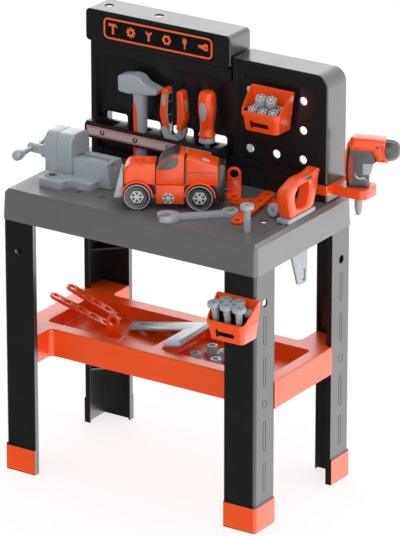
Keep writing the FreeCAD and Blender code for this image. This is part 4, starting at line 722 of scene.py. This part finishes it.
def truck_side_details(side, side_name):
    leaf = rounded([(-17.7, 67.3, 1), (-8, 79, 20), (2.7, 87, 20), (16, 89.5, 2), (16.4, 83.4, 8),
                    (13.6, 74.6, 10), (6.8, 69.5, 8), (-5.5, 66.6)])
    extra("truck_window_" + side_name, on_truck_side(plate([leaf], 0.8, 0.2), side, 0, TRUCK_SIDE, 0),
          "truck_cab", SCREEN)
    seam = plate([box_outline(28, 75, 63.1, 64, 0.3)], 0.5, 0.1)
    extra("truck_seam_" + side_name, on_truck_side(seam, side, 0, TRUCK_SIDE, 0), "truck_rear_body", DARK)
    star_bolt("truck_side_bolt_" + side_name, "truck_side_panels", 9.8,
              (UPRIGHT, at(-0.3, 24.6 * side, 20), TRUCK_PLACE))
    for arch_name, t in (("front", -AXLE_REACH), ("rear", AXLE_REACH)):
        liner = on_truck_side(arch_liner(), side, t, TRUCK_SIDE, WHEEL_RADIUS)
        extra("truck_%s_arch_%s" % (arch_name, side_name), liner, "truck_chassis", ORANGE)


def truck_wheels(node, t):
    """A pair of wheels on their axle, t along the truck from its middle."""
    profile = [(2, 16.4), (20, 16.4), (21.8, 17.4), (22, 19), (22, 26), (21.4, 27.6), (19.4, 28),
               (18.4, 27.4), (12.6, 27.4), (12, 26.4), (2, 26.4)]
    tyres = []
    for side, side_name in TRUCK_SIDES:
        tyre = lathe(profile)
        outwards = Matrix.Rotation(math.radians(-90 * side), 4, "X")
        tyres.append(moved(tyre, outwards, at(t, 0, WHEEL_RADIUS), TRUCK_PLACE))
        # A thin pale grey ring just inside each tyre's outer edge: a painted highlight, standing in for the
        # shine along the tyre's rim.
        painted_highlight_ring = plate([ring(0, 0, 20.6), ring(0, 0, 19.6)], 1.2, 0.3)
        moved(painted_highlight_ring, UPRIGHT, at(t, WHEEL_FACE * side, WHEEL_RADIUS), TRUCK_PLACE)
        extra("%s_bead_%s" % (node, side_name), painted_highlight_ring, node, PRINT_AND_HIGHLIGHT_GREY)
        star_bolt("%s_star_%s" % (node, side_name), node, 11.3,
                  (UPRIGHT, at(t, (WHEEL_FACE - 0.6) * side, WHEEL_RADIUS), TRUCK_PLACE))
    axle = lathe([(3, -16.6), (3, 16.6)])
    moved(axle, UPRIGHT, at(t, 0, WHEEL_RADIUS), TRUCK_PLACE)
    stand_in(node, joined(*tyres, axle))


def truck_badge():
    """The blank oval badge on the rear body's sloping top."""
    oval = [(7 * x, 5.4 * y) for x, y in ring(0, 0, 1, 36)]
    badge = plate([oval], 0.9, 0.2)
    moved(badge, Matrix.Rotation(math.radians(18), 4, "Y"), at(59, -9, 80.7), TRUCK_PLACE)
    extra("truck_blank_badge", badge, "truck_rear_body", SILVER)


def truck_pieces():
    for side, side_name in TRUCK_SIDES:
        truck_side_details(side, side_name)
    truck_wheels("truck_front_wheels", -AXLE_REACH)
    truck_wheels("truck_rear_wheels", AXLE_REACH)
    truck_badge()


# ---------------------------------------------------------------- vise, bins and worktop

VISE_BOLT_X = -190
VISE_BOLT_TOP = 503.8


def vise_pieces():
    low, high = box_mm("vise_tommy_bar")
    half = (high.y - low.y) / 2
    bar = lathe(smooth_profile([(1, -half), (6.6, -half + 2.4), (9.3, -half + 9), (8.4, -half + 17),
                                (6, -half + 27), (4.6, -14), (5.2, 0), (4.6, 14), (6, half - 27),
                                (8.4, half - 17), (9.3, half - 9), (6.6, half - 2.4), (1, half)]))
    middle = (low + high) / 2
    stand_in("vise_tommy_bar", moved(bar, UPRIGHT, at(middle.x, middle.y, middle.z)))
    arm = 6
    half_slot = 1.4
    corner = [(-half_slot, -arm), (half_slot, -arm), (half_slot, -half_slot)]
    outline = []
    for quarter in range(4):
        turn = Matrix.Rotation(math.radians(90 * quarter), 2)
        outline.extend(tuple(turn @ Vector(point)) for point in corner)
    cross = plate([outline], 0.6, 0.1)
    for name, y in (("front", -77), ("rear", 7)):
        disc = plate([ring(0, 0, 8)], 0.4, 0.1)
        extra("vise_bolt_disc_" + name, moved(disc, at(VISE_BOLT_X, y, VISE_BOLT_TOP)),
              "assembly_screws", STEEL)
        extra("vise_bolt_cross_" + name, moved(cross.copy(), at(VISE_BOLT_X, y, VISE_BOLT_TOP + 0.4)),
              "assembly_screws", DARK)


UPPER_BIN_X = 131.5
LOWER_BIN_X = 212.7
BIN_HALF = 39.5
BIN_FOOT_HALF = 31
BIN_DEPTH = 51
BIN_FOOT_DEPTH = 40
BIN_HEIGHT = 64
BIN_LIP = 33
BIN_REACH = BIN_FOOT_DEPTH + (BIN_DEPTH - BIN_FOOT_DEPTH) * BIN_LIP / BIN_HEIGHT


def bin_outline(height, grow):
    """A bin's section at a height, grown outwards; its back is at y = 0."""
    share = height / BIN_HEIGHT
    half = BIN_FOOT_HALF + (BIN_HALF - BIN_FOOT_HALF) * share + grow
    depth = BIN_FOOT_DEPTH + (BIN_DEPTH - BIN_FOOT_DEPTH) * share + grow
    return rounded([(-half, -depth, 9 + grow), (half, -depth, 9 + grow), (half, -2), (-half, -2)])


def bolt_mark():
    """A bolt lying on its side, its head to the left."""
    return rounded([(-17, -6.5, 1), (-13, -6.5, 1), (-13, -3.6), (17, -3.6, 3), (17, 3.6, 3), (-13, 3.6),
                    (-13, 6.5, 1), (-17, 6.5, 1)])


def bin_pieces():
    for node, x in (("upper_bin", UPPER_BIN_X), ("lower_bin", LOWER_BIN_X)):
        low, high = box_mm(node)
        back = low.y + BIN_REACH
        base = low.z
        band_z = BIN_LIP - 4
        band = plate([bin_outline(band_z, 1.3), bin_outline(band_z, -1)], 8, 0.6)
        extra(node + "_band", moved(band, at(x, back, base + band_z)), node, ORANGE)
        step = plate([rounded([(-9, -2), (9, -2), (13, 2.5), (-13, 2.5)])], 2.2, 0.4)
        lean = math.atan((BIN_DEPTH - BIN_FOOT_DEPTH) / BIN_HEIGHT)
        tilt = Matrix.Rotation(lean, 4, "X")
        front = back - BIN_FOOT_DEPTH
        marks = (("step", step, BIN_LIP - 9.5, 0.5, ORANGE),
                 ("mark", plate([bolt_mark()], 0.8, 0.2), 12.5, 0.3, INK_BLACK))
        for name, mesh, height, proud, material in marks:
            depth = (BIN_DEPTH - BIN_FOOT_DEPTH) * height / BIN_HEIGHT + proud
            moved(mesh, UPRIGHT, tilt, at(x, front - depth, base + height))
            extra("%s_%s" % (node, name), mesh, node, material)


def nut_stars():
    """The loose nuts of the upper bin, each with a raised star on its end."""
    low, high = box_mm("upper_bin")
    back = low.y + BIN_REACH
    places = [(-19, -12.5, 15), (0, -12, 14), (19, -12.5, 15), (-19, -30, 15), (0, -30.5, 14),
              (19, -30, 15), (-10, -22, 33), (9, -21, 33)]
    stars = []
    hollows = []
    blocks = []
    for index, (x, y, z) in enumerate(places):
        tilt = Matrix.Rotation(math.radians(20 + 6 * (index % 3)), 4, Vector((1, 0.12 * (index - 3), 0)))
        where = Matrix.Translation((UPPER_BIN_X + x, back + y, low.z + z + 12)) @ tilt
        blocks.append(moved(plate([ring(0, 0, 9.2, 6, index)], 17, 1.2), where))
        spin = Matrix.Rotation(index, 4, "Z")
        stars.append(moved(star_face(8.6, 1.2), spin, at(0, 0, 9), where))
        hollows.append(moved(plate([ring(0, 0, 7.6, 6)], 0.8, 0.1), spin, at(0, 0, 8.7), where))
    stand_in("upper_bin_nuts", joined(*blocks), sharp=30)
    extra("upper_bin_stars", joined(*stars), "upper_bin_nuts", SILVER)
    extra("upper_bin_hollows", joined(*hollows), "upper_bin_nuts", DARK)


BRACKETS = {"shelf_bracket": (-95, -46, 222.3, 8), "worktop_bracket": (86, 37, 490.3, 211)}


def bracket_rims():
    """The raised collar round each ring bracket's hole."""
    for node, (x, y, z, turn) in BRACKETS.items():
        rim = moved(plate([ring(0, 0, 10.8), ring(0, 0, 7.2)], 5.8, 0.9), UPRIGHT, at(0, 2, 36.5),
                    at(x, y, z, turn))
        extra(node + "_rim", rim, node, ORANGE)


def worktop_pieces():
    low, high = box_mm("worktop")
    line = plate([box_outline(high.x - 25.4, high.x - 24.6, -95, 75, 0.3)], 0.3, 0.05)
    extra("worktop_inset_line", moved(line, at(0, 0, high.z + 0.05)), "worktop", DARK)


# ---------------------------------------------------------------- floor, light and camera

def floor():
    """A pale floor that only takes faint contact shadows."""
    work = bmesh.new()
    bmesh.ops.create_grid(work, x_segments=1, y_segments=1, size=6)
    mesh = bpy.data.meshes.new("floor")
    work.to_mesh(mesh)
    work.free()
    material = bpy.data.materials.new("pale_floor")
    material.use_nodes = True
    nodes = material.node_tree.nodes
    links = material.node_tree.links
    shader = nodes["Principled BSDF"]
    shader.inputs["Roughness"].default_value = 0.9
    shader.inputs["Emission Strength"].default_value = 0.76
    noise = nodes.new("ShaderNodeTexNoise")
    noise.inputs["Scale"].default_value = 4
    tint = nodes.new("ShaderNodeMix")
    tint.data_type = "RGBA"
    tint.inputs["A"].default_value = (0.3, 0.3, 0.3, 1)
    tint.inputs["B"].default_value = (0.31, 0.31, 0.31, 1)
    links.new(noise.outputs["Fac"], tint.inputs["Factor"])
    links.new(tint.outputs["Result"], shader.inputs["Base Color"])
    shader.inputs["Emission Color"].default_value = (1, 1, 1, 1)
    mesh.materials.append(material)
    obj = bpy.data.objects.new("floor", mesh)
    obj.location.z = -0.0005
    obj.visible_glossy = False
    bpy.context.scene.collection.objects.link(obj)


def studio_light():
    """White to the camera, soft from above, and bright on the right and behind in reflections."""
    world = bpy.data.worlds.new("studio")
    bpy.context.scene.world = world
    world.use_nodes = True
    nodes = world.node_tree.nodes
    links = world.node_tree.links
    nodes.clear()
    where = nodes.new("ShaderNodeTexCoord")
    axes = nodes.new("ShaderNodeSeparateXYZ")
    links.new(where.outputs["Generated"], axes.inputs["Vector"])
    path = nodes.new("ShaderNodeLightPath")

    def ramp(axis, start, end, low, high):
        span = nodes.new("ShaderNodeMapRange")
        span.inputs["From Min"].default_value = start
        span.inputs["From Max"].default_value = end
        span.inputs["To Min"].default_value = low
        span.inputs["To Max"].default_value = high
        links.new(axes.outputs[axis], span.inputs["Value"])
        return span.outputs["Result"]

    def glow(strength):
        background = nodes.new("ShaderNodeBackground")
        links.new(strength, background.inputs["Strength"])
        return background

    def choose(test, otherwise, when_true):
        mix = nodes.new("ShaderNodeMixShader")
        links.new(path.outputs[test], mix.inputs["Fac"])
        links.new(otherwise.outputs[0], mix.inputs[1])
        links.new(when_true.outputs[0], mix.inputs[2])
        return mix

    white = nodes.new("ShaderNodeBackground")
    soft = glow(ramp("Z", -0.6, 0.9, 0.6, 1.1))
    brighter = nodes.new("ShaderNodeMath")
    brighter.operation = "MAXIMUM"
    links.new(ramp("Y", -0.1, 0.65, 0.12, 4.2), brighter.inputs[0])
    links.new(ramp("X", 0.0, 0.45, 0.0, 4.8), brighter.inputs[1])
    shine = glow(brighter.outputs[0])
    result = choose("Is Camera Ray", choose("Is Glossy Ray", soft, shine), white)
    out = nodes.new("ShaderNodeOutputWorld")
    links.new(result.outputs[0], out.inputs["Surface"])


VIEW_AZIMUTH = 33.183
VIEW_ELEVATION = 21.227
VIEW_DISTANCE = 7687
VIEW_LENS = 318.6
VIEW_TARGET = Vector((0, 0, 330))
VIEW_SHIFT_RIGHT = 37.5
VIEW_SHIFT_UP = 25.8


def camera():
    azimuth = math.radians(VIEW_AZIMUTH)
    elevation = math.radians(VIEW_ELEVATION)
    right = Vector((math.cos(azimuth), math.sin(azimuth), 0))
    back = Vector((math.sin(azimuth) * math.cos(elevation), -math.cos(azimuth) * math.cos(elevation),
                   math.sin(elevation)))
    up = back.cross(right)
    target = VIEW_TARGET + right * VIEW_SHIFT_RIGHT + up * VIEW_SHIFT_UP
    data = bpy.data.cameras.new("camera")
    data.lens = VIEW_LENS
    data.sensor_width = 36
    data.clip_end = 60
    obj = bpy.data.objects.new("camera", data)
    obj.location = (target + back * VIEW_DISTANCE) * MM
    obj.rotation_euler = back.to_track_quat("Z", "Y").to_euler()
    bpy.context.scene.collection.objects.link(obj)
    bpy.context.scene.camera = obj
    bpy.context.scene.view_settings.view_transform = "Standard"


# ---------------------------------------------------------------- the whole scene

dress_cad_nodes()
soften_cad_nodes()
header_print()
rack_print()
hammer_pieces()
pliers_pieces()
screwdriver_pieces()
saw_pieces()
drill_pieces()
truck_pieces()
vise_pieces()
bin_pieces()
nut_stars()
bracket_rims()
worktop_pieces()
floor()
studio_light()
camera()
